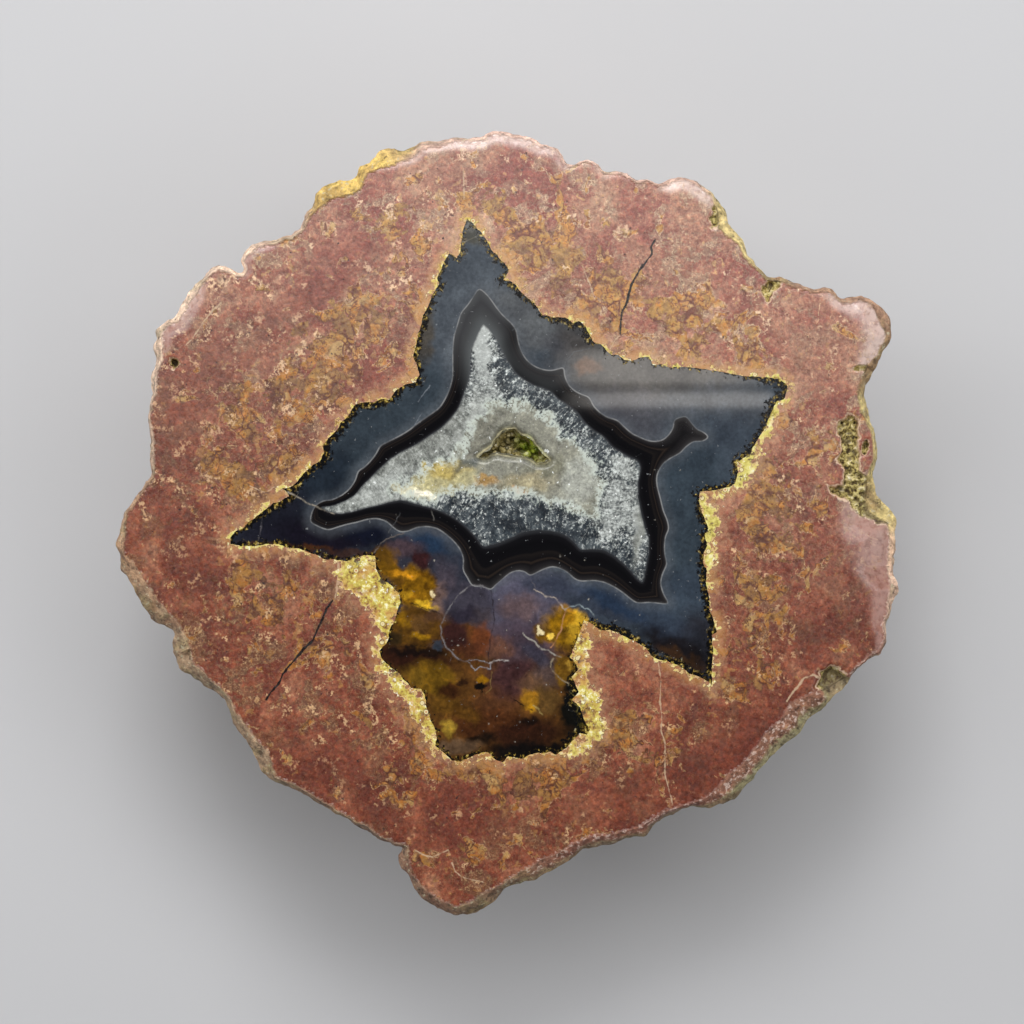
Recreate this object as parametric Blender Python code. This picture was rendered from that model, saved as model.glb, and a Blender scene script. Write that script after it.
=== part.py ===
"""Thunder egg: one half of a rhyolite nodule, sawn through and polished, with a star-shaped agate core.

The half lies on its rounded, lumpy back on a small flat spot, with the polished cut face up and level.
Frame: metres, +Z up, origin under the middle of the stone at the level it rests on.
Outlines are drawn on a square sheet (x to the right, y down) and scaled so that the stone is FACE_WIDTH wide.
"""
import math

import bmesh
import bpy
import numpy as np
from mathutils import Euler, Matrix, Vector, noise

# ---------------------------------------------------------------- driving dimensions
FACE_WIDTH = 0.150        # across the stone, left to right
THICKNESS = 0.058         # from the flat spot to the polished face
CORE_DEPTH = 0.033        # how far the agate star goes down
CRUST_DEPTH = 0.017       # how far the quartz lining goes down
VUG_DEPTH = 0.0095        # depth of the open pocket in the quartz
FLAT_SPOT = 0.26          # flat spot's width as a share of the stone's
GAP = 0.0003              # between two solids that touch
LID = 0.0012              # how far a cutter stands above the face it opens

# ---------------------------------------------------------------- outlines, clockwise, on the sheet
# The stone seen from above, with the width of rind that shows past the cut face at each point.
STONE = (
    (492, 129, 3), (513, 133, 3), (532, 137, 3), (541, 143, 2), (558, 148, 2), (567, 163, 2), (575, 163, 2),
    (588, 158, 2), (601, 166, 2), (604, 172, 2), (616, 170, 2), (627, 173, 2), (636, 180, 2), (647, 178, 2),
    (661, 184, 2), (669, 180, 2), (682, 176, 2), (700, 182, 3), (716, 195, 3), (723, 206, 7), (728, 223, 10),
    (736, 231, 8), (745, 240, 6), (748, 254, 4), (758, 265, 3), (769, 278, 3), (780, 275, 5), (793, 282, 4),
    (807, 285, 3), (814, 290, 3), (827, 286, 4), (836, 291, 3), (841, 299, 3), (851, 300, 3), (860, 295, 3),
    (873, 300, 4), (884, 310, 7), (891, 322, 9), (894, 335, 6), (889, 345, 4), (883, 350, 3), (883, 356, 4),
    (876, 368, 8), (868, 382, 8), (864, 395, 6), (869, 408, 7), (871, 420, 4), (876, 434, 4), (879, 455, 4),
    (875, 468, 4), (872, 474, 5), (876, 484, 9), (877, 493, 12), (883, 502, 16), (894, 511, 16), (897, 520, 9),
    (896, 532, 5), (897, 540, 5), (893, 563, 3), (892, 573, 3), (898, 582, 6), (900, 592, 8), (892, 605, 4),
    (892, 612, 3), (886, 624, 3), (888, 632, 3), (887, 645, 3), (882, 654, 3), (868, 660, 2), (852, 676, 3),
    (846, 689, 10), (834, 697, 12), (822, 711, 20), (808, 720, 23), (799, 735, 23), (786, 744, 21),
    (768, 760, 17), (756, 776, 17), (740, 791, 20), (729, 802, 17), (712, 808, 12), (691, 807, 4),
    (678, 811, 3), (667, 815, 4), (652, 827, 6), (645, 839, 12), (634, 837, 8), (625, 840, 8), (612, 843, 9),
    (600, 846, 11), (583, 850, 9), (571, 861, 12), (550, 872, 14), (537, 881, 14), (520, 883, 9),
    (505, 889, 5), (497, 900, 11), (486, 908, 13), (470, 914, 10), (457, 917, 8), (440, 910, 8),
    (424, 901, 9), (414, 890, 8), (409, 876, 3), (399, 867, 9), (397, 856, 11), (404, 849, 5), (390, 844, 2),
    (378, 839, 2), (368, 829, 2), (352, 823, 2), (330, 811, 4), (308, 798, 4), (290, 788, 4), (272, 781, 5),
    (261, 772, 13), (255, 757, 13), (246, 743, 8), (236, 729, 10), (230, 713, 5), (225, 699, 4), (213, 688, 4),
    (199, 680, 8), (184, 672, 11), (175, 655, 15), (170, 643, 16), (175, 634, 7), (169, 628, 10),
    (158, 625, 14), (150, 614, 14), (144, 609, 15), (134, 592, 14), (127, 578, 13), (121, 568, 11),
    (120, 557, 4), (115, 546, 8), (118, 533, 6), (122, 524, 3), (124, 512, 3), (131, 503, 3), (138, 492, 3),
    (145, 481, 3), (151, 476, 2), (150, 460, 4), (150, 436, 3), (147, 422, 2), (149, 402, 2), (154, 389, 2),
    (152, 374, 4), (159, 361, 3), (152, 346, 9), (157, 338, 4), (156, 331, 4), (166, 321, 4), (175, 317, 5),
    (180, 304, 6), (191, 288, 6), (200, 281, 3), (210, 270, 3), (218, 266, 3), (230, 268, 4), (237, 275, 3),
    (245, 270, 3), (240, 260, 3), (246, 248, 5), (258, 242, 3), (276, 240, 3), (285, 235, 3), (291, 236, 3),
    (300, 227, 3), (306, 213, 4), (313, 205, 5), (314, 196, 12), (321, 186, 15), (336, 180, 17),
    (353, 180, 12), (360, 166, 9), (374, 158, 11), (380, 148, 18), (391, 146, 17), (400, 150, 10),
    (412, 150, 6), (422, 144, 3), (442, 141, 3), (457, 137, 3), (484, 136, 3),
)
# Where the agate meets the rhyolite: a star of five arms whose lower left one ends in a broad lobe.
STAR = (
    (467, 218), (481, 232), (491, 250), (509, 270), (504, 281), (516, 285), (528, 298), (543, 315),
    (567, 318), (585, 326), (594, 342), (612, 355), (632, 361), (649, 357), (655, 365), (690, 367),
    (742, 376), (779, 379), (787, 388), (778, 401), (766, 427), (752, 450), (738, 462), (736, 483),
    (700, 492), (702, 513), (708, 528), (703, 563), (709, 596), (716, 630), (713, 650), (712, 685),
    (689, 673), (660, 660), (646, 648), (618, 633), (601, 631), (584, 620), (572, 650), (578, 670),
    (572, 700), (588, 731), (566, 748), (538, 753), (521, 759), (503, 762), (487, 752), (461, 761),
    (444, 753), (436, 736), (425, 696), (402, 678), (379, 651), (395, 620), (401, 603), (391, 585),
    (376, 568), (375, 556), (347, 561), (317, 555), (286, 547), (257, 546), (231, 544), (230, 538),
    (249, 522), (266, 509), (289, 496), (295, 484), (324, 453), (323, 445), (351, 410), (364, 402),
    (389, 400), (400, 387), (419, 378), (413, 356), (423, 315), (438, 284), (449, 253), (459, 255),
)
# The quartz lining of the star's hollow, and the opening of the pocket that is left in it.
LINING = (
    (483, 323), (501, 348), (515, 372), (533, 385), (552, 392), (577, 412), (594, 431), (612, 447),
    (638, 461), (638, 497), (649, 538), (643, 583), (630, 570), (613, 555), (592, 549), (580, 550),
    (567, 536), (537, 530), (511, 538), (483, 547), (465, 526), (440, 511), (401, 500), (366, 508),
    (328, 512), (320, 507), (345, 501), (371, 477), (401, 452), (441, 428), (458, 409), (468, 382),
    (471, 350),
)
VUG = (
    (478, 456), (493, 444), (499, 434), (514, 429), (530, 437), (543, 452), (549, 461), (537, 463),
    (522, 455), (505, 455), (490, 455),
)
# Two hollows where the rind has broken away at the edge of the face: middle, half widths and depth, in sheet units.
RIM_PITS = (
    ((850, 446), (9, 30), 22),
    ((833, 681), (14, 12), 18),
)

# ---------------------------------------------------------------- how the outlines change with depth
LONGEST_SIDE = 0.0045                            # longest side of the stone's outline
STONE_RINGS = 15                                 # levels from the face to the flat spot
RING_CROWDING = 1.15                             # above 1, the levels lie closer near the face
RIND_DROP = 0.0022                               # depth at which the rind reaches the stone's full width
EDGE_FADE = 0.020                                # depth over which the outline's small knobs round off
LUMP_FADE = 0.018                                # depth over which the back's lumps grow
KNOB_PASSES = 60                                 # rounds of smoothing that leave no knobs on the outline
# Share of the depth, and the outline's size there.
CORE_PROFILE = ((0.0, 1.0), (0.30, 0.96), (0.60, 0.84), (0.85, 0.60), (1.0, 0.32))
CRUST_PROFILE = ((0.0, 1.0), (0.40, 0.92), (0.75, 0.70), (1.0, 0.38))
VUG_PROFILE = ((0.0, 1.0), (0.22, 1.30), (0.55, 1.38), (0.85, 1.05), (1.0, 0.60))
ROUNDNESS = 0.74                                 # power of the back's profile: 1 is an ellipse, less is fuller
LUMPS = ((0.040, 0.0034), (0.019, 0.0032), (0.010, 0.0014))       # size and height of the rind's lumps
CREASE = 2.2                                     # the higher, the narrower the creases between lumps
CALM_RINGS = 3                                   # levels over which the lumps die out at the flat spot
SHARPEST = 0.35                                  # a tip sharper than this share of a mitre is cut short

# ---------------------------------------------------------------- the quartz points in the pocket
CRYSTALS = 9
CRYSTAL_RADIUS = 0.0012
CRYSTAL_POINT = 1.3                              # height of the point, in radii
CRYSTAL_SHAFT = 2.0                              # length of the shaft, in radii
CRYSTAL_REACH = 1.25                             # where they root, against the pocket's opening
CRYSTAL_LEVEL = 0.52                             # how far down the pocket they root, on average
CRYSTAL_LEAN = 52                                # degrees from upright, on average

# ---------------------------------------------------------------- colours
RHYOLITE = ((0.36, 0.17, 0.13, 1.0), 0.35)
AGATE = ((0.05, 0.06, 0.075, 1.0), 0.15)
QUARTZ = ((0.46, 0.45, 0.40, 1.0), 0.30)


# ---------------------------------------------------------------- outline helpers
def sheet_frame():
    """Scale from sheet units to metres and the sheet point under the frame's origin."""
    points = np.array([point[:2] for point in STONE], dtype=float)
    low, high = points.min(axis=0), points.max(axis=0)
    return FACE_WIDTH / (high[0] - low[0]), (low + high) / 2


SCALE, CENTRE = sheet_frame()


def to_metres(points):
    """Sheet points as an anticlockwise outline in metres."""
    outline = (np.array(points, dtype=float) - CENTRE) * SCALE * (1, -1)
    return outline[::-1]


def refined(outline, longest):
    """The closed outline with each side longer than the longest split into equal shorter ones."""
    points = []
    for start, end in zip(outline, np.roll(outline, -1, axis=0)):
        pieces = math.ceil(math.dist(start[:2], end[:2]) / longest)
        points += [start + (end - start) * piece / pieces for piece in range(pieces)]
    return np.array(points)


def point_along(outline, share):
    """The point at a share of the way round a closed outline."""
    closed = np.vstack([outline, outline[:1]])
    travelled = np.concatenate([[0.0], np.cumsum(np.hypot(*np.diff(closed, axis=0).T))])
    return np.array([np.interp(share * travelled[-1], travelled, column) for column in closed.T])


def smooth(outline, passes):
    """The outline with its knobs rounded off, at its own size."""
    result = outline.copy()
    for _ in range(passes):
        result = 0.5 * result + 0.25 * (np.roll(result, 1, axis=0) + np.roll(result, -1, axis=0))
    return result


def normals(outline):
    """Outward unit normals of an anticlockwise outline."""
    along = np.roll(outline, -1, axis=0) - np.roll(outline, 1, axis=0)
    outward = np.column_stack([along[:, 1], -along[:, 0]])
    return outward / np.linalg.norm(outward, axis=1)[:, None]


def grow(outline, distance):
    """The outline with each side moved outwards by a distance, and its sharp tips cut short."""
    before = outline - np.roll(outline, 1, axis=0)
    after = np.roll(outline, -1, axis=0) - outline
    sides = [np.column_stack([side[:, 1], -side[:, 0]]) / np.linalg.norm(side, axis=1)[:, None]
             for side in (before, after)]
    mitre = sides[0] + sides[1]
    reach = np.maximum((mitre ** 2).sum(axis=1) / 2, SHARPEST)
    return outline + mitre * (distance / reach)[:, None]


def ease(value, start, length):
    """0 at the start, 1 a length further on, and a smooth step between."""
    share = min(1.0, max(0.0, (value - start) / length))
    return share * share * (3 - 2 * share)


def scaled(outline, share):
    """The outline shrunk or stretched about its own middle."""
    middle = outline.mean(axis=0)
    return middle + (outline - middle) * share


# ---------------------------------------------------------------- solids
def new_object(name, mesh_data, collection, material=None):
    """A closed mesh object in a collection, with its outside facing out."""
    bmesh.ops.recalc_face_normals(mesh_data, faces=mesh_data.faces)
    mesh = bpy.data.meshes.new(name)
    mesh_data.to_mesh(mesh)
    mesh_data.free()
    piece = bpy.data.objects.new(name, mesh)
    collection.objects.link(piece)
    if material is not None:
        mesh.materials.append(material)
    return piece


def ringed_mesh(rings):
    """A capped cylinder primitive whose levels are moved onto rings of (x, y, z), top ring first."""
    count = len(rings[0])
    mesh = bmesh.new()
    bmesh.ops.create_cone(mesh, cap_ends=True, segments=count, radius1=1.0, radius2=1.0, depth=1.0)
    upright = [edge for edge in mesh.edges if abs(edge.verts[0].co.z - edge.verts[1].co.z) > 0.5]
    bmesh.ops.subdivide_edges(mesh, edges=upright, cuts=len(rings) - 2, use_grid_fill=True)
    for vert in mesh.verts:
        around = round(math.atan2(vert.co.y, vert.co.x) / (2 * math.pi) * count) % count
        level = round((0.5 - vert.co.z) * (len(rings) - 1))
        vert.co = Vector(rings[level][around])
    return mesh


def lofted_rings(outline, depth, profile, top=THICKNESS):
    """Rings of an outline that shrinks with depth below the polished face."""
    return [np.column_stack([scaled(outline, share), np.full(len(outline), top - depth * down)])
            for down, share in profile]


def lidded(rings):
    """Rings with one more on top, so that a cutter passes the face it opens."""
    lid = rings[0] + (0.0, 0.0, LID)
    return [lid] + rings


def pocket_rings(outline, depth, profile):
    """The same rings grown by the gap all round and below, and carried up past the face."""
    rings = lofted_rings(outline, depth, profile)
    grown = [np.column_stack([grow(ring[:, :2], GAP), ring[:, 2]]) for ring in rings]
    grown[-1][:, 2] -= GAP
    return lidded(grown)


def rind_noise(point):
    """How far the rind lies inside the stone's full size, as 0 or less: round lumps with creases between."""
    return sum(depth * (min(1.0, CREASE * abs(noise.noise(Vector(point) / size))) - 1.0)
               for size, depth in LUMPS)


def stone_rings():
    """The stone's levels: cut edge, full width just below it, then rounding in to the flat spot."""
    rind = [point[2] * SCALE for point in reversed(STONE)]
    outline = refined(np.column_stack([to_metres([point[:2] for point in STONE]), rind]), LONGEST_SIDE)
    full = outline[:, :2]
    face = full - normals(smooth(full, 2)) * outline[:, 2:]
    round_outline = smooth(full, KNOB_PASSES)
    rings = [np.column_stack([face, np.full(len(face), THICKNESS)])]
    last_angle = math.acos(FLAT_SPOT ** (1 / ROUNDNESS))
    for level in range(1, STONE_RINGS + 1):
        angle = last_angle * ((level - 1) / (STONE_RINGS - 1)) ** RING_CROWDING
        share = math.cos(angle) ** ROUNDNESS
        drop = RIND_DROP + (THICKNESS - RIND_DROP) * (math.sin(angle) / math.sin(last_angle)) ** ROUNDNESS
        fade = ease(drop, RIND_DROP, EDGE_FADE)
        ring = (full * (1 - fade) + round_outline * fade) * share
        strength = ease(drop, RIND_DROP, LUMP_FADE) * min(1.0, (STONE_RINGS - level) / CALM_RINGS)
        rings.append(lumpy_ring(ring, THICKNESS - drop, angle, strength))
    return rings


def lumpy_ring(ring, height, angle, strength):
    """One level with the rind's lumps, pushed in square to the back, which faces down more at each level."""
    power = 2 - ROUNDNESS
    sideways = math.cos(angle) ** power / (FACE_WIDTH / 2)
    down = math.sin(angle) ** power / THICKNESS
    facing = np.column_stack([normals(smooth(ring, 4)) * sideways, np.full(len(ring), -down)])
    facing /= math.hypot(sideways, down)
    points = np.column_stack([ring, np.full(len(ring), height)])
    lift = np.array([rind_noise(point) for point in points]) * strength
    return points + facing * lift[:, None]


def cut(target, cutter, operation='DIFFERENCE'):
    """A Boolean modifier on the target, with the exact solver."""
    modifier = target.modifiers.new(cutter.name, 'BOOLEAN')
    modifier.operation = operation
    modifier.object = cutter
    modifier.solver = 'EXACT'
    cutter.hide_render = True
    cutter.display_type = 'WIRE'


def pit_cutter(name, middle, half_widths, depth, collection):
    """A rounded hollow let into the face: a stretched ball centred on the face."""
    mesh = bmesh.new()
    bmesh.ops.create_uvsphere(mesh, u_segments=12, v_segments=8, radius=1.0)
    place = (np.array(middle, dtype=float) - CENTRE) * SCALE * (1, -1)
    size = Matrix.Diagonal((half_widths[0] * SCALE, half_widths[1] * SCALE, depth * SCALE, 1.0))
    mesh.transform(Matrix.Translation((place[0], place[1], THICKNESS)) @ size)
    return new_object(name, mesh, collection)


def crystal(name, base, lean, radius, collection):
    """A six-sided quartz point: a pyramid whose base is pulled down into a prism."""
    mesh = bmesh.new()
    height = radius * CRYSTAL_POINT
    bmesh.ops.create_cone(mesh, cap_ends=True, segments=6, radius1=radius, radius2=0.0, depth=height)
    lowest = min(vert.co.z for vert in mesh.verts)
    base_face = [face for face in mesh.faces if all(abs(v.co.z - lowest) < 1e-7 for v in face.verts)]
    pulled = bmesh.ops.extrude_face_region(mesh, geom=base_face)["geom"]
    bmesh.ops.delete(mesh, geom=base_face, context='FACES_ONLY')
    shaft = [item for item in pulled if isinstance(item, bmesh.types.BMVert)]
    bmesh.ops.translate(mesh, verts=shaft, vec=(0.0, 0.0, -radius * CRYSTAL_SHAFT))
    mesh.transform(Matrix.Translation(base) @ lean.to_matrix().to_4x4())
    return new_object(name, mesh, collection)


# ---------------------------------------------------------------- sub-parts
def rhyolite_shell(parts, cutters):
    """The brown rock: the stone's whole outside with a pocket for the agate star."""
    shell = new_object("rhyolite_shell", ringed_mesh(stone_rings()), parts, surface("rhyolite", RHYOLITE))
    pocket = pocket_rings(to_metres(STAR), CORE_DEPTH, CORE_PROFILE)
    cut(shell, new_object("star_pocket", ringed_mesh(pocket), cutters))
    for number, (middle, half_widths, depth) in enumerate(RIM_PITS):
        cut(shell, pit_cutter(f"rim_pit_{number}", middle, half_widths, depth, cutters))
    return shell


def agate_core(parts, cutters):
    """The dark agate star, flush with the face, with a pocket for the quartz lining."""
    rings = lofted_rings(to_metres(STAR), CORE_DEPTH, CORE_PROFILE)
    core = new_object("agate_core", ringed_mesh(rings), parts, surface("agate", AGATE))
    pocket = pocket_rings(to_metres(LINING), CRUST_DEPTH, CRUST_PROFILE)
    cut(core, new_object("lining_pocket", ringed_mesh(pocket), cutters))
    return core


def quartz_crust(parts, cutters):
    """The pale quartz lining with its open pocket and the quartz points that stand in it."""
    rings = lofted_rings(to_metres(LINING), CRUST_DEPTH, CRUST_PROFILE)
    crust = new_object("quartz_crust", ringed_mesh(rings), parts, surface("quartz", QUARTZ))
    opening = to_metres(VUG)
    cut(crust, new_object("vug", ringed_mesh(lidded(lofted_rings(opening, VUG_DEPTH, VUG_PROFILE))), cutters))
    for number in range(CRYSTALS):
        cut(crust, vug_crystal(number, opening, cutters), 'UNION')
    return crust


def vug_crystal(number, opening, cutters):
    """One of the quartz points: rooted in the pocket's wall and leaning in, each a little unlike the last."""
    middle = opening.mean(axis=0)
    reach = (point_along(opening, number / CRYSTALS) - middle) * CRYSTAL_REACH
    radius = CRYSTAL_RADIUS * (1.0 + 0.35 * math.sin(number * 2.4))
    down = VUG_DEPTH * (CRYSTAL_LEVEL + 0.16 * math.sin(number * 1.7))
    base = Vector((middle[0] + reach[0], middle[1] + reach[1], THICKNESS - down))
    tilt = math.radians(CRYSTAL_LEAN + 14 * math.sin(number * 3.1))
    inward = math.atan2(-reach[1], -reach[0])
    return crystal(f"crystal_{number:02d}", base, Euler((0.0, tilt, inward), 'XYZ'), radius, cutters)


def surface(name, look):
    """A plain polished-stone material."""
    colour, roughness = look
    material = bpy.data.materials.new(name)
    material.use_nodes = True
    shader = material.node_tree.nodes["Principled BSDF"]
    shader.inputs["Base Color"].default_value = colour
    shader.inputs["Roughness"].default_value = roughness
    shader.inputs["Metallic"].default_value = 0.0
    return material


def main():
    for leftover in list(bpy.data.objects):
        bpy.data.objects.remove(leftover, do_unlink=True)
    parts = bpy.data.collections.new("thunder_egg")
    cutters = bpy.data.collections.new("cutters")
    for collection in (parts, cutters):
        bpy.context.scene.collection.children.link(collection)
    rhyolite_shell(parts, cutters)
    agate_core(parts, cutters)
    quartz_crust(parts, cutters)


main()
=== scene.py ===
"""Thunder egg half, dressed: a rhyolite nodule, sawn and polished, with a star of agate lined with quartz.

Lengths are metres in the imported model's frame. What is drawn on the polished face is drawn on a square
sheet, SHEET_SIDE units a side (x to the right, y down), which is also what the camera frames.
"""
import math

import bpy
import numpy as np
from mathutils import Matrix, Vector, noise
from mathutils.geometry import delaunay_2d_cdt
from mathutils.kdtree import KDTree

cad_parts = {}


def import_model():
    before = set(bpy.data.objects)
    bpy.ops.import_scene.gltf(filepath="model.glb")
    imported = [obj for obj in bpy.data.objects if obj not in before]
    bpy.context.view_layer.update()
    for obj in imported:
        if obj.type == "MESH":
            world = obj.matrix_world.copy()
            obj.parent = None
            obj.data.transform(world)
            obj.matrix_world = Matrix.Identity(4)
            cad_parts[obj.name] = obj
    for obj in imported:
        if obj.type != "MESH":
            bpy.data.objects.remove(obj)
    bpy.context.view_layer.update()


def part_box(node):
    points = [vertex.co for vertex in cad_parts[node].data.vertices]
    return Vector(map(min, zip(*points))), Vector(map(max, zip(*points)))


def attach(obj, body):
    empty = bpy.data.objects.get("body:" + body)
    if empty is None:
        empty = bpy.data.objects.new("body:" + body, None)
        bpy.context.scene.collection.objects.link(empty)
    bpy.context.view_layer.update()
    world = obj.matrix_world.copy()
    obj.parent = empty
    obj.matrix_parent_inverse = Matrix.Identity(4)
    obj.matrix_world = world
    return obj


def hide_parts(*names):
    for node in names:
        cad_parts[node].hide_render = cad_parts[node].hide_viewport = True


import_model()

# ---------------------------------------------------------------- the sheet
SHEET_SIDE = 1024
SHEET_CENTRE = (507.5, 523.0)  # the sheet point over the frame's origin
STONE_SPAN = 785  # the stone's width on the sheet
ROCK_LOW, ROCK_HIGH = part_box("rhyolite_shell")
UNIT = (ROCK_HIGH.x - ROCK_LOW.x) / STONE_SPAN  # one sheet unit in metres
FACE_Z = ROCK_HIGH.z  # the polished face
CAMERA_DISTANCE = 0.80  # from the camera to the face

# ---------------------------------------------------------------- outlines, clockwise on the sheet
# The stone from above, with the width of rind that shows past the cut face at each point.
STONE = (
    (492, 129, 3), (513, 133, 3), (532, 137, 3), (541, 143, 2), (558, 148, 2), (567, 163, 2), (575, 163, 2),
    (588, 158, 2), (601, 166, 2), (604, 172, 2), (616, 170, 2), (627, 173, 2), (636, 180, 2), (647, 178, 2),
    (661, 184, 2), (669, 180, 2), (682, 176, 2), (700, 182, 3), (716, 195, 3), (723, 206, 7),
    (728, 223, 10), (736, 231, 8), (745, 240, 6), (748, 254, 4), (758, 265, 3), (769, 278, 3),
    (780, 275, 5), (793, 282, 4), (807, 285, 3), (814, 290, 3), (827, 286, 4), (836, 291, 3), (841, 299, 3),
    (851, 300, 3), (860, 295, 3), (873, 300, 4), (884, 310, 7), (891, 322, 9), (894, 335, 6), (889, 345, 4),
    (883, 350, 3), (883, 356, 4), (876, 368, 8), (868, 382, 8), (864, 395, 6), (869, 408, 7), (871, 420, 4),
    (876, 434, 4), (879, 455, 4), (875, 468, 4), (872, 474, 5), (876, 484, 9), (877, 493, 12),
    (883, 502, 16), (894, 511, 16), (897, 520, 9), (896, 532, 5), (897, 540, 5), (893, 563, 3),
    (892, 573, 3), (898, 582, 6), (900, 592, 8), (892, 605, 4), (892, 612, 3), (886, 624, 3), (888, 632, 3),
    (887, 645, 3), (882, 654, 3), (868, 660, 2), (852, 676, 3), (846, 689, 10), (834, 697, 12),
    (822, 711, 20), (808, 720, 23), (799, 735, 23), (786, 744, 21), (768, 760, 17), (756, 776, 17),
    (740, 791, 20), (729, 802, 17), (712, 808, 12), (691, 807, 4), (678, 811, 3), (667, 815, 4),
    (652, 827, 6), (645, 839, 12), (634, 837, 8), (625, 840, 8), (612, 843, 9), (600, 846, 11),
    (583, 850, 9), (571, 861, 12), (550, 872, 14), (537, 881, 14), (520, 883, 9), (505, 889, 5),
    (497, 900, 11), (486, 908, 13), (470, 914, 10), (457, 917, 8), (440, 910, 8), (424, 901, 9),
    (414, 890, 8), (409, 876, 3), (399, 867, 9), (397, 856, 11), (404, 849, 5), (390, 844, 2),
    (378, 839, 2), (368, 829, 2), (352, 823, 2), (330, 811, 4), (308, 798, 4), (290, 788, 4), (272, 781, 5),
    (261, 772, 13), (255, 757, 13), (246, 743, 8), (236, 729, 10), (230, 713, 5), (225, 699, 4),
    (213, 688, 4), (199, 680, 8), (184, 672, 11), (175, 655, 15), (170, 643, 16), (175, 634, 7),
    (169, 628, 10), (158, 625, 14), (150, 614, 14), (144, 609, 15), (134, 592, 14), (127, 578, 13),
    (121, 568, 11), (120, 557, 4), (115, 546, 8), (118, 533, 6), (122, 524, 3), (124, 512, 3),
    (131, 503, 3), (138, 492, 3), (145, 481, 3), (151, 476, 2), (150, 460, 4), (150, 436, 3), (147, 422, 2),
    (149, 402, 2), (154, 389, 2), (152, 374, 4), (159, 361, 3), (152, 346, 9), (157, 338, 4), (156, 331, 4),
    (166, 321, 4), (175, 317, 5), (180, 304, 6), (191, 288, 6), (200, 281, 3), (210, 270, 3), (218, 266, 3),
    (230, 268, 4), (237, 275, 3), (245, 270, 3), (240, 260, 3), (246, 248, 5), (258, 242, 3), (276, 240, 3),
    (285, 235, 3), (291, 236, 3), (300, 227, 3), (306, 213, 4), (313, 205, 5), (314, 196, 12),
    (321, 186, 15), (336, 180, 17), (353, 180, 12), (360, 166, 9), (374, 158, 11), (380, 148, 18),
    (391, 146, 17), (400, 150, 10), (412, 150, 6), (422, 144, 3), (442, 141, 3), (457, 137, 3),
    (484, 136, 3),
)
# Where the agate meets the rock.
STAR = (
    (467, 218), (474, 225), (481, 232), (488, 242), (491, 250), (497, 255), (504, 263), (509, 270),
    (506, 276), (503, 280), (510, 281), (516, 285), (520, 291), (528, 298), (534, 303), (539, 310),
    (543, 315), (552, 317), (563, 317), (568, 319), (573, 323), (579, 321), (585, 326), (588, 333),
    (594, 342), (601, 344), (606, 350), (612, 355), (619, 355), (624, 360), (632, 361), (638, 358),
    (649, 357), (653, 365), (661, 364), (668, 367), (690, 367), (706, 369), (723, 372), (742, 376),
    (764, 377), (779, 379), (787, 385), (787, 391), (784, 399), (777, 401), (773, 409), (769, 418),
    (766, 427), (758, 439), (753, 447), (750, 454), (743, 458), (737, 462), (738, 472), (735, 484),
    (727, 488), (716, 490), (707, 491), (700, 492), (699, 501), (702, 513), (706, 522), (708, 528),
    (705, 535), (707, 546), (704, 553), (703, 563), (707, 571), (706, 582), (709, 596), (710, 611),
    (714, 623), (717, 632), (712, 635), (713, 650), (712, 668), (712, 685), (704, 679), (689, 673),
    (680, 666), (670, 662), (660, 660), (652, 656), (646, 648), (636, 642), (627, 638), (618, 633),
    (610, 630), (601, 631), (592, 624), (584, 620), (581, 630), (577, 641), (572, 650), (570, 657),
    (576, 664), (578, 670), (572, 677), (576, 686), (579, 692), (572, 700), (580, 707), (584, 720),
    (590, 729), (587, 735), (580, 733), (572, 741), (566, 748), (555, 755), (550, 752), (546, 753),
    (538, 753), (529, 755), (521, 759), (514, 757), (508, 756), (503, 762), (497, 761), (491, 755),
    (487, 752), (480, 753), (471, 757), (461, 761), (452, 761), (446, 755), (440, 749), (435, 746),
    (437, 738), (435, 729), (430, 718), (426, 706), (425, 696), (421, 689), (411, 688), (407, 683),
    (402, 678), (398, 672), (390, 667), (383, 660), (379, 651), (385, 645), (389, 638), (389, 631),
    (395, 620), (397, 611), (401, 603), (398, 592), (391, 585), (381, 579), (376, 568), (375, 556),
    (364, 555), (355, 558), (347, 561), (340, 560), (325, 559), (317, 555), (311, 553), (300, 549),
    (286, 547), (278, 544), (266, 544), (257, 546), (241, 546), (231, 544), (230, 538), (236, 531),
    (243, 528), (249, 522), (256, 517), (266, 509), (273, 503), (281, 501), (289, 496), (286, 491),
    (281, 488), (289, 488), (295, 484), (305, 472), (313, 465), (320, 461), (324, 453), (323, 445),
    (330, 437), (337, 430), (341, 422), (347, 418), (351, 410), (355, 405), (364, 402), (374, 402),
    (381, 399), (389, 400), (394, 393), (400, 387), (407, 384), (416, 382), (419, 375), (417, 366),
    (413, 356), (416, 345), (418, 335), (421, 324), (423, 315), (428, 307), (432, 296), (436, 289),
    (439, 284), (437, 278), (441, 270), (444, 262), (449, 253), (457, 258), (460, 252), (461, 243),
    (463, 231),
)
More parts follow.
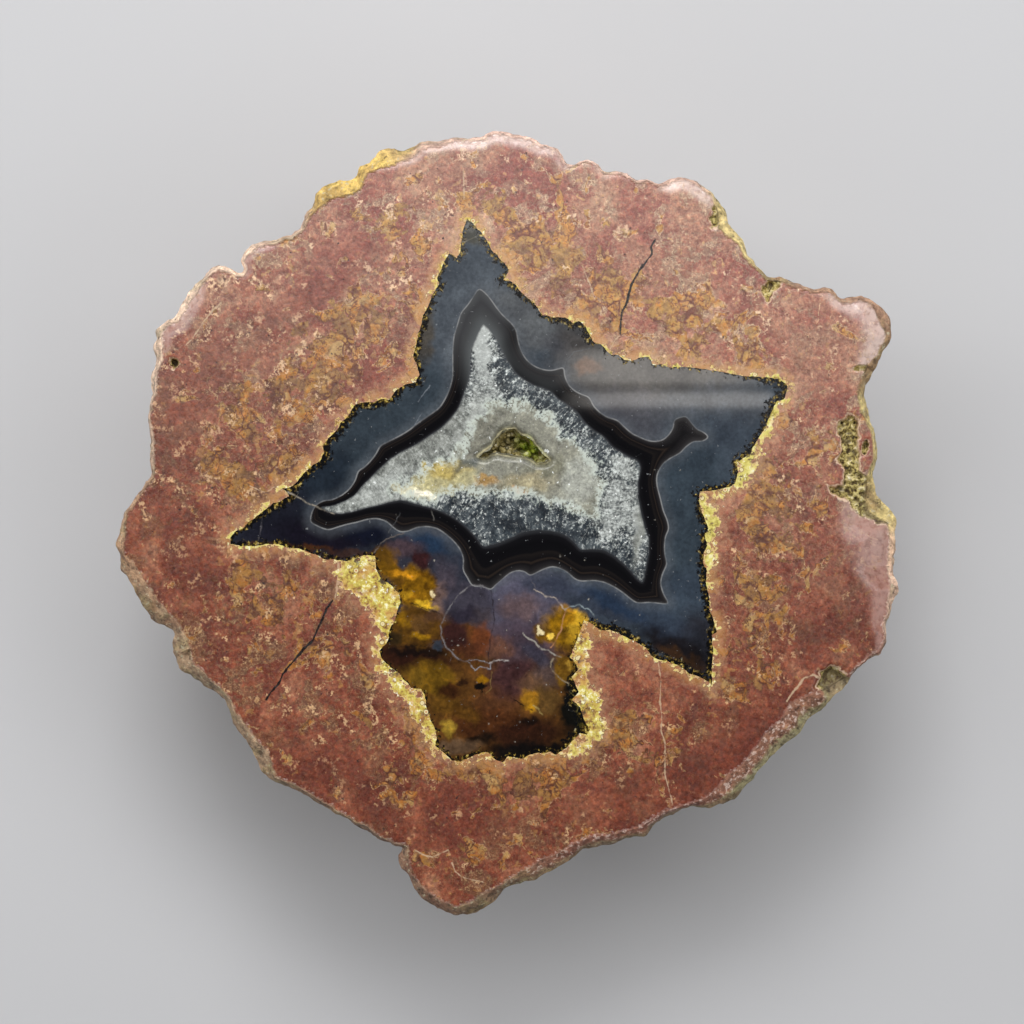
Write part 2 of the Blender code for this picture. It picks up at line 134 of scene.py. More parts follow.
# The thin pale line between the agate's blue-grey outer zone and its dark band.
BAND = (
    (479, 288), (486, 294), (491, 300), (497, 309), (504, 317), (511, 323), (516, 330), (517, 337),
    (519, 346), (522, 354), (528, 362), (535, 367), (543, 370), (551, 371), (559, 369), (564, 367),
    (564, 375), (568, 385), (574, 391), (582, 395), (589, 397), (593, 406), (600, 413), (608, 418),
    (617, 420), (624, 427), (632, 434), (641, 438), (648, 441), (656, 442), (664, 440), (670, 434),
    (674, 427), (674, 420), (679, 418), (686, 416), (691, 423), (697, 430), (703, 432), (709, 437),
    (703, 441), (693, 441), (685, 447), (680, 453), (670, 458), (663, 463), (658, 471), (656, 478),
    (657, 487), (660, 498), (663, 511), (667, 520), (669, 529), (665, 536), (664, 548), (665, 557),
    (667, 564), (662, 574), (660, 583), (663, 594), (669, 604), (659, 603), (649, 602), (637, 603),
    (631, 599), (624, 593), (615, 587), (605, 582), (594, 580), (581, 581), (575, 579), (569, 573),
    (561, 568), (552, 566), (543, 569), (535, 573), (530, 576), (525, 571), (517, 570), (509, 573),
    (501, 580), (495, 585), (491, 590), (483, 586), (472, 586), (468, 578), (463, 570), (464, 558),
    (460, 548), (453, 540), (445, 533), (437, 528), (427, 526), (417, 527), (408, 531), (400, 532),
    (393, 527), (387, 521), (377, 518), (367, 519), (357, 522), (347, 524), (337, 527), (328, 530),
    (320, 527), (310, 522), (312, 512), (316, 505), (323, 501), (333, 500), (343, 495), (350, 489),
    (356, 480), (358, 471), (364, 468), (371, 461), (377, 453), (380, 446), (390, 441), (400, 436),
    (410, 430), (417, 424), (430, 415), (440, 408), (446, 398), (450, 389), (453, 377), (453, 364),
    (453, 351), (454, 337), (458, 324), (461, 313), (469, 304),
)
# The edge of the quartz that lines the star.
LINING = (
    (483, 323), (488, 328), (496, 338), (501, 348), (507, 360), (515, 372), (523, 379), (533, 385),
    (543, 388), (552, 392), (558, 399), (568, 405), (577, 412), (585, 423), (594, 431), (604, 437),
    (612, 447), (625, 455), (638, 461), (641, 468), (638, 482), (638, 497), (641, 512), (645, 528),
    (649, 538), (649, 552), (646, 567), (643, 583), (637, 579), (630, 570), (622, 562), (613, 555),
    (604, 550), (592, 549), (580, 550), (575, 543), (567, 536), (560, 533), (551, 531), (537, 530),
    (523, 532), (511, 538), (499, 543), (483, 547), (475, 536), (465, 526), (453, 517), (440, 511),
    (427, 507), (412, 503), (401, 500), (390, 502), (380, 505), (366, 508), (352, 512), (340, 514),
    (328, 512), (320, 507), (332, 506), (345, 501), (355, 495), (361, 487), (371, 477), (380, 468),
    (390, 459), (401, 452), (417, 444), (429, 436), (441, 428), (450, 419), (458, 409), (463, 396),
    (468, 382), (470, 370), (471, 350), (474, 342), (478, 333),
)
# The jagged edge of the quartz's clearer inner part.
CREST = (
    (492, 402), (508, 403), (526, 402), (538, 410), (549, 416), (558, 425), (562, 434), (575, 443),
    (585, 452), (594, 463), (600, 474), (602, 487), (598, 502), (595, 518), (583, 514), (571, 509),
    (560, 505), (548, 503), (537, 498), (526, 494), (506, 493), (491, 491), (471, 492), (449, 491),
    (436, 494), (432, 504), (418, 501), (402, 495), (390, 490), (400, 482), (415, 478), (425, 467),
    (440, 460), (452, 460), (463, 440), (473, 424), (484, 411),
)
# The open pocket.
VUG = (
    (478, 456), (486, 450), (493, 444), (499, 434), (506, 430), (514, 429), (521, 434), (530, 437),
    (536, 446), (543, 452), (549, 460), (545, 463), (537, 463), (529, 459), (522, 455), (512, 456),
    (505, 455), (498, 453), (490, 455), (484, 458),
)


# ---------------------------------------------------------------- outlines and distances
def on_face(points):
    """Sheet points in metres."""
    return (np.array(points, dtype=float).reshape(-1, 2) - SHEET_CENTRE) * UNIT * (1, -1)


def refined(outline, longest):
    """The closed outline with each side longer than the longest split into equal shorter ones."""
    pieces = []
    for start, end in zip(outline, np.roll(outline, -1, axis=0)):
        count = max(1, math.ceil(math.dist(start[:2], end[:2]) / longest))
        shares = np.arange(count)[:, None] / count
        pieces.append(start + (end - start) * shares)
    return np.vstack(pieces)


def traced(line, longest):
    """An open line with each side longer than the longest split: refined() without the closing side."""
    whole = refined(line, longest)
    closing = math.ceil(math.dist(line[-1], line[0]) / longest)
    return whole[:len(whole) - closing + 1]


def smooth(outline, passes):
    """The closed outline with its knobs rounded off."""
    for _ in range(passes):
        outline = 0.5 * outline + 0.25 * (np.roll(outline, 1, axis=0) + np.roll(outline, -1, axis=0))
    return outline


def normals(outline):
    """Outward unit normals of a closed outline that runs anticlockwise."""
    along = np.roll(outline, -1, axis=0) - np.roll(outline, 1, axis=0)
    outward = np.column_stack([along[:, 1], -along[:, 0]])
    return outward / np.maximum(np.linalg.norm(outward, axis=1), 1e-9)[:, None]


def fractal(points, size, octaves=3, seed=0.0):
    """Smooth noise from about -1 to 1, with features of a size in metres, at each point."""
    points = np.asarray(points, dtype=float)
    if points.shape[1] == 2:
        points = np.column_stack([points, np.zeros(len(points))])
    places = points / size + (seed * 7.31, seed * 3.17, seed * 5.73)
    return np.array([noise.fractal(Vector(place), 0.9, 2.1, octaves) for place in places])


def fractals(points, size, octaves, seeds):
    """One column of noise for each seed."""
    return np.column_stack([fractal(points, size, octaves, seed) for seed in seeds])


def warped(points, reach, size, seed):
    """The points pushed about by fractal noise, so that what is painted by them has a ragged edge."""
    return points + fractals(points, size, 4, (seed, seed + 1)) * reach


def roughened(outline, height, size, seed):
    """The outline with fractal knobs of a height and size."""
    return outline + normals(smooth(outline, 2)) * (fractal(outline, size, 4, seed) * height)[:, None]


def nearest(points, line, closed):
    """Distance from each point to a line, and the number of the nearest side."""
    ends = np.roll(line, -1, axis=0) if closed else line[1:]
    best = np.full(len(points), np.inf)
    which = np.zeros(len(points), dtype=int)
    for number, (start, end) in enumerate(zip(line, ends)):
        along = end - start
        offset = points - start
        share = np.clip(offset @ along / max(along @ along, 1e-18), 0.0, 1.0)
        gap = ((offset - share[:, None] * along) ** 2).sum(axis=1)
        closer = gap < best
        best[closer], which[closer] = gap[closer], number
    return np.sqrt(best), which


def along_edge(points, line):
    """How far round a closed line the place nearest to each point is, in metres."""
    which = nearest(points, line, True)[1]
    along = np.roll(line, -1, axis=0) - line
    lengths = np.linalg.norm(along, axis=1)
    starts = np.concatenate([[0.0], np.cumsum(lengths)[:-1]])
    offsets = ((points - line[which]) * along[which]).sum(axis=1) / lengths[which]
    return starts[which] + np.clip(offsets, 0, lengths[which])


def inside(points, outline):
    """Whether each point is inside a closed outline."""
    result = np.zeros(len(points), dtype=bool)
    for start, end in zip(outline, np.roll(outline, -1, axis=0)):
        if start[1] == end[1]:
            continue
        crosses = (points[:, 1] < start[1]) != (points[:, 1] < end[1])
        at = start[0] + (points[:, 1] - start[1]) * (end[0] - start[0]) / (end[1] - start[1])
        result ^= crosses & (points[:, 0] < at)
    return result


def depth_in(points, outline):
    """Distance to a closed outline: above 0 inside it, below 0 outside."""
    return nearest(points, outline, True)[0] * np.where(inside(points, outline), 1.0, -1.0)


def ease(values, low, high):
    """A smooth step from 0 at low to 1 at high."""
    share = np.clip((np.asarray(values, dtype=float) - low) / (high - low), 0.0, 1.0)
    return share * share * (3 - 2 * share)


# ---------------------------------------------------------------- meshes
JITTER = 0.22  # how far a scattered point strays, a share of the spacing
EDGE_GAP = 0.35  # how near to an outline one may lie
EXTRA_GAP = 0.45  # how near to an extra point
SHARP_ANGLE = math.radians(50)


def scatter(low, high, spacing, rng):
    """A jittered triangular grid of points that fills a rectangle."""
    columns = np.arange(low[0], high[0], spacing)
    rows = np.arange(low[1], high[1], spacing * 0.87)
    x, y = np.meshgrid(columns, rows)
    x[::2] += spacing / 2
    points = np.column_stack([x.ravel(), y.ravel()])
    return points + rng.uniform(-JITTER, JITTER, points.shape) * spacing


def nearest_point(points, others):
    """Distance from each point to the nearest of the others."""
    tree = KDTree(len(others))
    for number, other in enumerate(others):
        tree.insert((*other, 0.0), number)
    tree.balance()
    return np.array([tree.find((*point, 0.0))[2] for point in points])


def around(points, middle, reach):
    """Whether each point lies round a middle."""
    return ((points - middle) ** 2).sum(axis=1) < (reach ** 2).sum() / 2


def between(points, loops):
    """Whether each point is inside the first loop and outside the others."""
    result = inside(points, loops[0])
    for hole in loops[1:]:
        result &= ~inside(points, hole)
    return result


def triangulated(loops, spacing, extra, seed, dense=()):
    """A flat triangle mesh between an outer loop and its holes, with extra points and finer in dense places.

    Gives the points, the triangles and each loop's point numbers.
    """
    rng = np.random.default_rng(seed)
    filling = [scatter(loops[0].min(axis=0), loops[0].max(axis=0), spacing, rng)]
    for middle, reach, finer in dense:
        patch = scatter(middle - reach, middle + reach, finer, rng)
        filling = [block[~around(block, middle, reach)] for block in filling]
        filling.append(patch[around(patch, middle, reach)])
    filling = np.vstack(filling)
    if len(extra):
        filling = np.vstack([filling[nearest_point(filling, extra) > spacing * EXTRA_GAP], extra])
    keep = between(filling, loops)
    for loop in loops:
        keep &= nearest(filling, loop, True)[0] > spacing * EDGE_GAP
    starts = np.cumsum([0] + [len(loop) for loop in loops])
    numbers = [list(range(start, start + len(loop))) for start, loop in zip(starts, loops)]
    edges = [edge for loop in numbers for edge in zip(loop, loop[1:] + loop[:1])]
    points = [Vector(point) for point in np.vstack([*loops, filling[keep]])]
    found = delaunay_2d_cdt(points, edges, [], 1, 1e-7, True)
    flat = np.array([tuple(point) for point in found[0]])
    triangles = np.array(found[2])
    triangles = triangles[between(flat[triangles].mean(axis=1), loops)]
    place = {old: new for new, olds in enumerate(found[3]) for old in olds}
    return flat, triangles, [[place[number] for number in loop] for loop in numbers]


def strip(across, above, below):
    """The texture corners of a row of quads between two heights on the texture sheet."""
    corners = ((across[:-1], above), (across[:-1], below), (across[1:], below), (across[1:], above))
    return np.stack([np.column_stack([x, np.full(len(x), y)]) for x, y in corners], axis=1).reshape(-1, 2)


def disc(x, y, radius, count):
    """The texture corners of a fan of triangles."""
    turn = 2 * math.pi * np.arange(count + 1) / count
    rim = np.column_stack([x + radius * np.cos(turn), y + radius * np.sin(turn)])
    return np.stack([rim[:-1], np.tile((x, y), (count, 1)), rim[1:]], axis=1).reshape(-1, 2)


def placed(name, data):
    """An object that shows the data."""
    piece = bpy.data.objects.new(name, data)
    bpy.context.scene.collection.objects.link(piece)
    return piece


def meshed(name, points, faces, material):
    """An object with a mesh of points and faces."""
    mesh = bpy.data.meshes.new(name)
    mesh.from_pydata(points, [], faces)
    mesh.materials.append(material)
    return placed(name, mesh)


def closed_piece(name, top, triangles, walls, sheet, material):
    """A mesh of a top surface and of walls that hang from its loops, laid out on a texture sheet.

    Each wall is its loop's point numbers and its levels. The sheet has a square (left, bottom, side) for the
    top, and for each wall a strip (left, bottom, right, top) and a disc (x, y, radius) for its floor.
    """
    square, *strips = sheet
    points = [tuple(point) for point in top]
    faces = triangles.tolist()
    low, side = top[:, :2].min(axis=0), np.ptp(top[:, :2], axis=0).max()
    spread = (top[:, :2] - low) / side * square[2] + square[:2]
    layout = [spread[triangles.ravel()]]
    for (upper, levels), ((left, bottom, right, high), floor_disc) in zip(walls, strips):
        count = len(upper)
        across = left + (right - left) * np.arange(count + 1) / count
        for number, level in enumerate(levels):
            lower = list(range(len(points), len(points) + count))
            points += [tuple(point) for point in level]
            faces += zip(upper, lower, lower[1:] + lower[:1], upper[1:] + upper[:1])
            heights = [high + (bottom - high) * step / len(levels) for step in (number, number + 1)]
            layout.append(strip(across, *heights))
            upper = lower
        faces += [(first, len(points), second) for first, second in zip(upper, upper[1:] + upper[:1])]
        points.append(tuple(np.mean(levels[-1], axis=0)))
        layout.append(disc(*floor_disc, count))
    piece = meshed(name, points, faces, material)
    piece.data.uv_layers.new(name="OFBake").data.foreach_set("uv", np.vstack(layout).ravel())
    piece.data.shade_smooth()
    piece.data.set_sharp_from_angle(angle=SHARP_ANGLE)
    return piece


def coordinates(piece):
    """The piece's points as an array."""
    flat = np.empty(len(piece.data.vertices) * 3)
    piece.data.vertices.foreach_get("co", flat)
    return flat.reshape(-1, 3)


def paint(piece, **paints):
    """Gives each point of a piece numbers and colours, which its material reads by name."""
    for name, values in paints.items():
        values = np.asarray(values, dtype=np.float32)
        if values.ndim == 1:
            piece.data.attributes.new(name, 'FLOAT', 'POINT').data.foreach_set("value", values)
        else:
            values = np.column_stack([values, np.ones(len(values), dtype=np.float32)])
            piece.data.attributes.new(name, 'FLOAT_COLOR', 'POINT').data.foreach_set("color", values.ravel())


# ---------------------------------------------------------------- painting points by where they are
def srgb(red, green, blue):
    """A colour given as it looks on a screen, 0 to 255, as linear light."""
    shares = np.array([red, green, blue]) / 255
    return np.where(shares <= 0.04045, shares / 12.92, ((shares + 0.055) / 1.055) ** 2.4)


def spot(points, middle, half_widths, turn, softness):
    """1 in the middle of an ellipse on the sheet and 0 outside it. The softness is its edge's share of it."""
    offset = (points - on_face(middle)) / UNIT
    angle = math.radians(turn)
    along = offset @ (math.cos(angle), math.sin(angle))
    across = offset @ (-math.sin(angle), math.cos(angle))
    reach = np.hypot(along / half_widths[0], across / half_widths[1])
    return 1 - ease(reach, 1 - softness / 2, 1 + softness / 2)


def most(covers):
    """The greatest of several covers at each point."""
    return np.max(np.vstack(covers), axis=0)


def richest(points, places, softness):
    """The greatest of several spots at each point, each with how rich it is after its ellipse."""
    return most([spot(points, *ellipse, softness) * rich for *ellipse, rich in places])


def laid(points, layers, start=0.0):
    """A number at each point from spots laid over one another: value, cover, ellipse, softness."""
    result = np.full(len(points), float(start))
    for value, cover, ellipse, softness in layers:
        result += (value - result) * cover * spot(points, *ellipse, softness)
    return result


def tinted(points, tints):
    """The colour that spots of tint lay over each point, and how much of what is below them they cover."""
    colour = np.zeros((len(points), 3))
    cover = np.zeros(len(points))
    for shade, strength, ellipse, softness in tints:
        share = strength * spot(points, *ellipse, softness)
        colour += (srgb(*shade) - colour) * share[:, None]
        cover += (1 - cover) * share
    return colour / np.maximum(cover, 1e-3)[:, None], cover


# ---------------------------------------------------------------- materials
STONE_IOR = 1.54


class Value:
    """What a node gives at each point of a surface. Sums of values add the nodes that work them out."""

    def __init__(self, shader, socket):
        self.shader = shader
        self.socket = socket

    def __add__(self, other):
        return self.shader.math('ADD', self, other)

    def __sub__(self, other):
        return self.shader.math('SUBTRACT', self, other)

    def __rsub__(self, other):
        return self.shader.math('SUBTRACT', other, self)

    def __mul__(self, other):
        return self.shader.math('MULTIPLY', self, other)

    def __truediv__(self, other):
        return self.shader.math('DIVIDE', self, other)

    def __abs__(self):
        return self.shader.math('ABSOLUTE', self)

    __radd__, __rmul__ = __add__, __mul__


class Shader:
    """A node material built by short calls. Colours in the calls are as they look on a screen, 0 to 255."""

    def __init__(self, name):
        self.material = bpy.data.materials.new(name)
        self.material.use_nodes = True
        self.nodes = self.material.node_tree.nodes
        self.position = self.node("ShaderNodeTexCoord", "Object", {})

    def fill(self, node, inputs):
        """Sets a node's inputs, each to a number, a colour or what another node gives."""
        for name, value in inputs.items():
            socket = node.inputs[name]
            if isinstance(value, Value):
                self.material.node_tree.links.new(value.socket, socket)
            else:
                socket.default_value = (*srgb(*value), 1.0) if socket.type == 'RGBA' else value

    def node(self, kind, output, inputs, **settings):
        """A node with its inputs filled: gives one of its outputs."""
        node = self.nodes.new(kind)
        for name, value in settings.items():
            setattr(node, name, value)
        self.fill(node, inputs)
        return Value(self, node.outputs[output])

    def number(self, name):
        """The number that paint() gave each point under a name."""
        return self.node("ShaderNodeAttribute", "Fac", {}, attribute_name=name)

    def colour(self, name):
        """The colour that paint() gave each point under a name."""
        return self.node("ShaderNodeAttribute", "Color", {}, attribute_name=name)

    def math(self, operation, *values, clamp=False):
        """What an operation makes of the values."""
        return self.node("ShaderNodeMath", 0, dict(enumerate(values)), operation=operation, use_clamp=clamp)

    def step(self, value, low, high, start=0.0, end=1.0):
        """A smooth step from start at low to end at high."""
        inputs = dict(enumerate((value, low, high, start, end)))
        return self.node("ShaderNodeMapRange", 0, inputs, interpolation_type='SMOOTHSTEP')

    def mix(self, share, first, second, blend='MIX'):
        """The first colour with a share of the second laid over it."""
        inputs = {0: share, 6: first, 7: second}
        return self.node("ShaderNodeMix", 2, inputs, data_type='RGBA', blend_type=blend)

    def blend(self, value, stops):
        """Linear colours along a value. Each stop is its place and a colour."""
        node = self.nodes.new("ShaderNodeValToRGB")
        elements = node.color_ramp.elements
        while len(elements) < len(stops):
            elements.new(0.5)
        for element, (place, colour) in zip(elements, stops):
            element.position = place
            element.color = (*colour, 1.0)
        self.fill(node, {0: value})
        return Value(self, node.outputs[0])

    def ramp(self, value, *stops):
        """Colours along a value. Each stop is its place and a colour."""
        return self.blend(value, [(place, srgb(*colour)) for place, *colour in stops])

    def lit(self, colour, value, *stops, share=1.0):
        """The colour times a factor for its red, green and blue that goes by a value."""
        factors = self.blend(value, [(place, factor) for place, *factor in stops])
        return self.mix(share, colour, factors, 'MULTIPLY')

    def noise(self, size, detail=4.0, rough=0.55, seed=0.0, warp=0.0, place=None):
        """Noise from 0 to 1 with features of a size in metres."""
        inputs = {"Vector": place or self.position, "W": seed, "Scale": 1 / size, "Detail": detail,
                  "Roughness": rough, "Distortion": warp}
        return self.node("ShaderNodeTexNoise", "Fac", inputs, noise_dimensions='4D')

    def cells(self, size, feature='F1', output="Distance", place=None):
        """Cells of a size in metres: the distance to their middle or edge, or a colour for each."""
        inputs = {"Vector": place or self.position, "Scale": 1 / size}
        return self.node("ShaderNodeTexVoronoi", output, inputs, feature=feature)

    def shifted(self, size, reach, seed):
        """The position pushed about by coarse noise, for lines that wander."""
        inputs = {"Vector": self.position, "W": seed, "Scale": 1 / size, "Detail": 2.0}
        push = self.node("ShaderNodeTexNoise", "Color", inputs, noise_dimensions='4D')
        push = self.node("ShaderNodeVectorMath", 0, {0: push, 1: (0.5,) * 3}, operation='SUBTRACT')
        inputs = {0: push, 1: (reach,) * 3, 2: self.position}
        return self.node("ShaderNodeVectorMath", 0, inputs, operation='MULTIPLY_ADD')

    def bump(self, height, strength, distance):
        """The surface's normals, tilted by a relief."""
        return self.node("ShaderNodeBump", 0, {"Height": height, "Strength": strength, "Distance": distance})

    def finish(self, colour, roughness, normal):
        """The finished material."""
        inputs = {"Base Color": colour, "Roughness": roughness, "Normal": normal, "IOR": STONE_IOR}
        self.fill(self.nodes["Principled BSDF"], inputs)
        return self.material


# ---------------------------------------------------------------- the rock: what is drawn on it
# Yellow crust where it is broad: outlines that reach into the star.
CRUST_AREAS = (
    ((779, 379), (789, 383), (788, 396), (780, 405), (776, 417), (774, 428), (766, 440), (762, 448),
     (758, 463), (753, 477), (749, 484), (740, 487), (733, 491), (722, 495), (708, 495), (704, 488),
     (732, 480), (736, 464), (748, 450), (760, 430), (768, 408)),
    ((698, 490), (710, 495), (711, 503), (717, 508), (719, 520), (720, 530), (719, 540), (716, 545),
     (713, 560), (710, 572), (702, 570), (703, 540), (704, 520), (698, 505)),
    ((340, 556), (340, 578), (345, 590), (352, 598), (362, 605), (372, 615), (378, 630), (374, 645),
     (374, 658), (380, 668), (387, 680), (388, 690), (396, 698), (408, 706), (410, 716), (420, 722),
     (430, 732), (432, 745), (440, 756), (450, 754), (440, 735), (430, 705), (412, 682), (392, 655),
     (392, 640), (402, 612), (404, 596), (386, 570), (380, 552)),
    ((580, 624), (592, 632), (592, 641), (588, 650), (588, 661), (585, 673), (590, 684), (597, 693),
     (600, 704), (604, 718), (607, 728), (604, 737), (598, 743), (588, 746), (582, 752), (566, 758),
     (562, 744), (580, 738), (574, 700), (570, 660)),
)
CRUST_RIM = 3.2  # greatest width of the crust elsewhere
THIN_CRUST = ((400, 340), (150, 200), 0, 0.6)  # where it is only a thin line: a spot and its softness
# What tints the rind, by place above or below the outline: colour, cover, ellipse, softness.
RIND_TINTS = (
    ((150, 118, 92), 1.0, ((508, 523), (900, 900), 0), 0.1),
    # the cream and pale pink at the upper left and the top: partly the rind's own colour, partly painted
    # highlight
    ((244, 214, 190), 1.0, ((220, 300), (190, 130), 40), 0.8),
    ((248, 210, 194), 0.9, ((560, 150), (150, 60), -12), 0.8),
    ((236, 202, 114), 1.0, ((345, 175), (62, 34), 25), 0.9),
    ((236, 214, 148), 0.9, ((735, 240), (52, 56), -40), 0.8),
    ((186, 146, 120), 0.9, ((840, 300), (70, 40), 0), 0.9),
    ((222, 202, 136), 0.9, ((880, 470), (50, 90), 0), 0.9),
    ((222, 188, 166), 0.9, ((896, 600), (40, 60), 0), 0.9),
    ((148, 140, 106), 1.0, ((790, 760), (110, 60), 38), 0.8),
    ((142, 118, 92), 1.0, ((570, 865), (130, 50), 22), 0.8),
    ((146, 116, 94), 1.0, ((400, 870), (60, 60), 0), 0.8),
    ((172, 144, 116), 1.0, ((200, 690), (130, 70), -42), 0.8),
    ((196, 158, 126), 0.8, ((120, 520), (40, 60), 0), 0.9),
)
# Veins and cracks: points, half width, and whether it is dark.
VEINS = (
    (((655, 240), (651, 247), (652, 254), (645, 263), (639, 271), (633, 281), (629, 294), (626, 305),
     (622, 313), (621, 320), (620, 334)), 0.9, True),
    (((620, 334), (614, 342), (610, 349)), 0.6, False),
    (((333, 600), (327, 608), (322, 620), (313, 640), (304, 648), (299, 655), (290, 665), (283, 674),
     (278, 685), (271, 692), (266, 700)), 1.0, True),
    (((338, 562), (339, 580), (335, 598)), 1.1, False),
    (((658, 662), (661, 680), (660, 700), (662, 718), (661, 732), (665, 741), (665, 775), (668, 786),
     (673, 806)), 0.6, False),
    (((461, 148), (462, 162), (463, 171), (464, 181), (464, 200)), 0.4, False),
    (((250, 486), (266, 493), (274, 487), (282, 490)), 0.5, False),
    (((221, 303), (213, 310), (204, 321), (199, 329), (192, 339), (185, 346)), 0.6, False),
    (((787, 701), (793, 692), (799, 685), (804, 678), (813, 675), (820, 678), (827, 681), (833, 683)), 0.9,
     False),
    (((415, 850), (424, 855), (433, 857), (442, 853), (448, 850)), 0.5, False),
    (((452, 863), (455, 871), (462, 877), (473, 880), (483, 882)), 0.5, False),
    (((582, 265), (590, 285), (595, 300)), 0.5, False),
)
# Hollows in the face: middle, half widths and depth.
PITS = (
    ((833, 681), (14, 12), 16),
    ((861, 369), (7, 3), 10),
    ((174, 361), (5, 5), 14),
    ((771, 287), (3, 5), 12),
    ((186, 655), (5, 5), 8),
    ((715, 220), (4, 6), 8),
    ((866, 447), (3, 6), 9),
)
# Where the face's edge is broken away to a porous yellow crust: outline and depth.
BREAKS = (
    (((840, 418), (850, 414), (859, 418), (860, 430), (862, 447), (862, 460), (861, 471), (872, 478),
     (880, 498), (897, 512), (901, 528), (877, 524), (861, 517), (847, 504), (831, 494), (828, 485),
     (841, 482), (843, 472), (838, 463), (840, 447), (836, 430)), 9),
    (((760, 284), (770, 278), (782, 274), (784, 284), (776, 294), (768, 304), (762, 300)), 6),
    (((708, 206), (720, 200), (726, 214), (722, 224), (712, 218)), 6),
)
# Places where the edge of the face is worn round: middle, reach and width of the wear.
WEAR = (
    ((500, 146), 75, 11),
    ((440, 152), 60, 8),
    ((880, 330), 40, 22),
    ((872, 540), 52, 44),
    ((890, 590), 44, 22),
    ((888, 625), 30, 12),
    ((840, 310), 25, 10),
    ((690, 188), 30, 12),
    ((180, 315), 40, 14),
    ((255, 255), 25, 8),
    ((600, 180), 30, 6),
)
# Places rich in tan mottles: an ellipse, and how rich.
TAN_PLACES = (
    ((350, 335), (75, 42), 40, 0.85),
    ((410, 225), (60, 36), 20, 0.6),
    ((300, 385), (60, 40), 35, 0.85),
    ((240, 430), (50, 65), 20, 0.7),
    ((255, 480), (60, 40), 0, 0.7),
    ((268, 590), (48, 42), 0, 0.55),
    ((540, 245), (60, 45), -35, 0.7),
    ((610, 290), (60, 40), -30, 0.65),
    ((690, 320), (70, 35), -15, 0.65),
    ((560, 200), (50, 25), 0, 0.35),
    ((740, 350), (60, 22), 0, 0.6),
    ((775, 520), (40, 80), 0, 0.6),
    ((820, 470), (25, 50), 0, 0.4),
    ((765, 625), (30, 50), -10, 0.55),
    ((730, 690), (50, 25), 20, 0.45),
    ((640, 740), (75, 26), 10, 0.5),
    ((510, 785), (75, 38), 5, 0.75),
    ((400, 745), (50, 50), 0, 0.45),
    ((455, 852), (45, 18), 0, 0.55),
    ((330, 640), (40, 40), 0, 0.3),
    ((790, 420), (20, 45), 0, 0.45),
    ((470, 200), (50, 25), 0, 0.45),
    ((560, 800), (45, 24), 0, 0.4),
    ((420, 330), (20, 60), 0, 0.5),
    ((795, 510), (9, 8), 0, 1.0),
    ((785, 560), (9, 7), 30, 1.0),
    ((768, 590), (7, 6), 0, 1.0),
    ((243, 582), (11, 9), 0, 1.0),
    ((262, 612), (9, 7), 0, 0.9),
    ((276, 600), (8, 5), 0, 0.9),
    ((806, 470), (7, 6), 0, 0.9),
)
# Places with clusters of pale grains.
GRAINY_PLACES = (
    ((225, 420), (120, 190), 0, 1.0),
    ((300, 700), (170, 130), 0, 0.8),
    ((400, 240), (60, 40), 0, 0.6),
    ((800, 300), (70, 50), 0, 0.7),
    ((600, 780), (120, 50), 0, 0.5),
    ((740, 640), (60, 90), 0, 0.4),
)
# Places where the rock is plainer and redder.
RED_PLACES = (
    ((318, 284), (90, 17), 35, 0.9),
    ((185, 400), (60, 34), 62, 0.7),
    ((180, 560), (50, 50), 0, 0.6),
    ((640, 650), (70, 40), -30, 0.5),
    ((735, 765), (125, 44), 32, 1.0),
    ((650, 790), (90, 26), 14, 0.8),
    ((330, 770), (80, 30), -25, 0.7),
    ((820, 340), (40, 30), 0, 0.5),
    ((830, 620), (50, 60), 0, 0.6),
    ((440, 820), (90, 30), 0, 0.6),
    ((400, 350), (50, 16), 35, 0.5),
    ((640, 230), (40, 20), 0, 0.4),
    ((500, 170), (90, 18), 0, 0.4),
)
LOBE_SIDE = ((460, 660), (170, 130), 0, 0.4)  # the crust is browner round the agate's lobe: a spot
FRESH_RIND = ((720, 790), (230, 120), 38, 0.5)  # where pinkish rock shows under the rind: a spot
DEEP_RIND = (142, 112, 84)  # the rind's colour below the rim

# ---------------------------------------------------------------- the rock: its shape
RIND_STEP = 0.00065  # spacing of points round the rind
FACE_STEP = 0.0005  # spacing of points on the polished rock
PIT_STEP = 0.0003  # spacing of points in the hollows
BREAK_STEP = 0.00028  # spacing of points where the edge is broken
EDGE_LEVELS = 6  # levels from the face's edge to the stone's full width
BACK_LEVELS = 44  # levels from there to the flat spot
CALM_LEVELS = 8  # the last of them, over which the lumps die away
CROWDING = 1.5  # above 1, the back's levels lie closer near the face
RIND_DROP = 0.0022  # depth at which the rind reaches the stone's full width
EDGE_FADE = 0.020  # depth over which the outline's small knobs round off
LUMP_FADE = 0.018  # depth over which the back's lumps grow
ROUNDNESS = 0.74  # power of the back's profile
FLAT_SPOT = 0.26  # flat spot's width as a share of the stone's
LUMPS = ((0.040, 0.0034), (0.019, 0.0032), (0.010, 0.0014))  # sizes and heights of the back's lumps
CREASE = 2.2  # how narrow the creases between the lumps are
WORN_EDGE = 2.2  # least width of the face's rounded edge, on the sheet
WORN_SLOPE = 0.32  # how far the rounded edge drops, as a share of its width
BREAK_EDGE = 0.0007  # how far a broken edge takes to reach its depth
RIND_SEAM = 0.00035  # how far the rind's colour reaches over the face's edge
CORE_DEPTH = FACE_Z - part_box("agate_core")[0].z
CORE_PROFILE = ((0.004, 0.999), (0.30, 0.96), (0.60, 0.84), (0.85, 0.60), (1.0, 0.32))  # depth and width
BELOW_FACE = {"contact": 90.0, "crust": -20.0, "vein": 9.0, "crack": 9.0, "rind": 1.0}  # fillers, or else 0
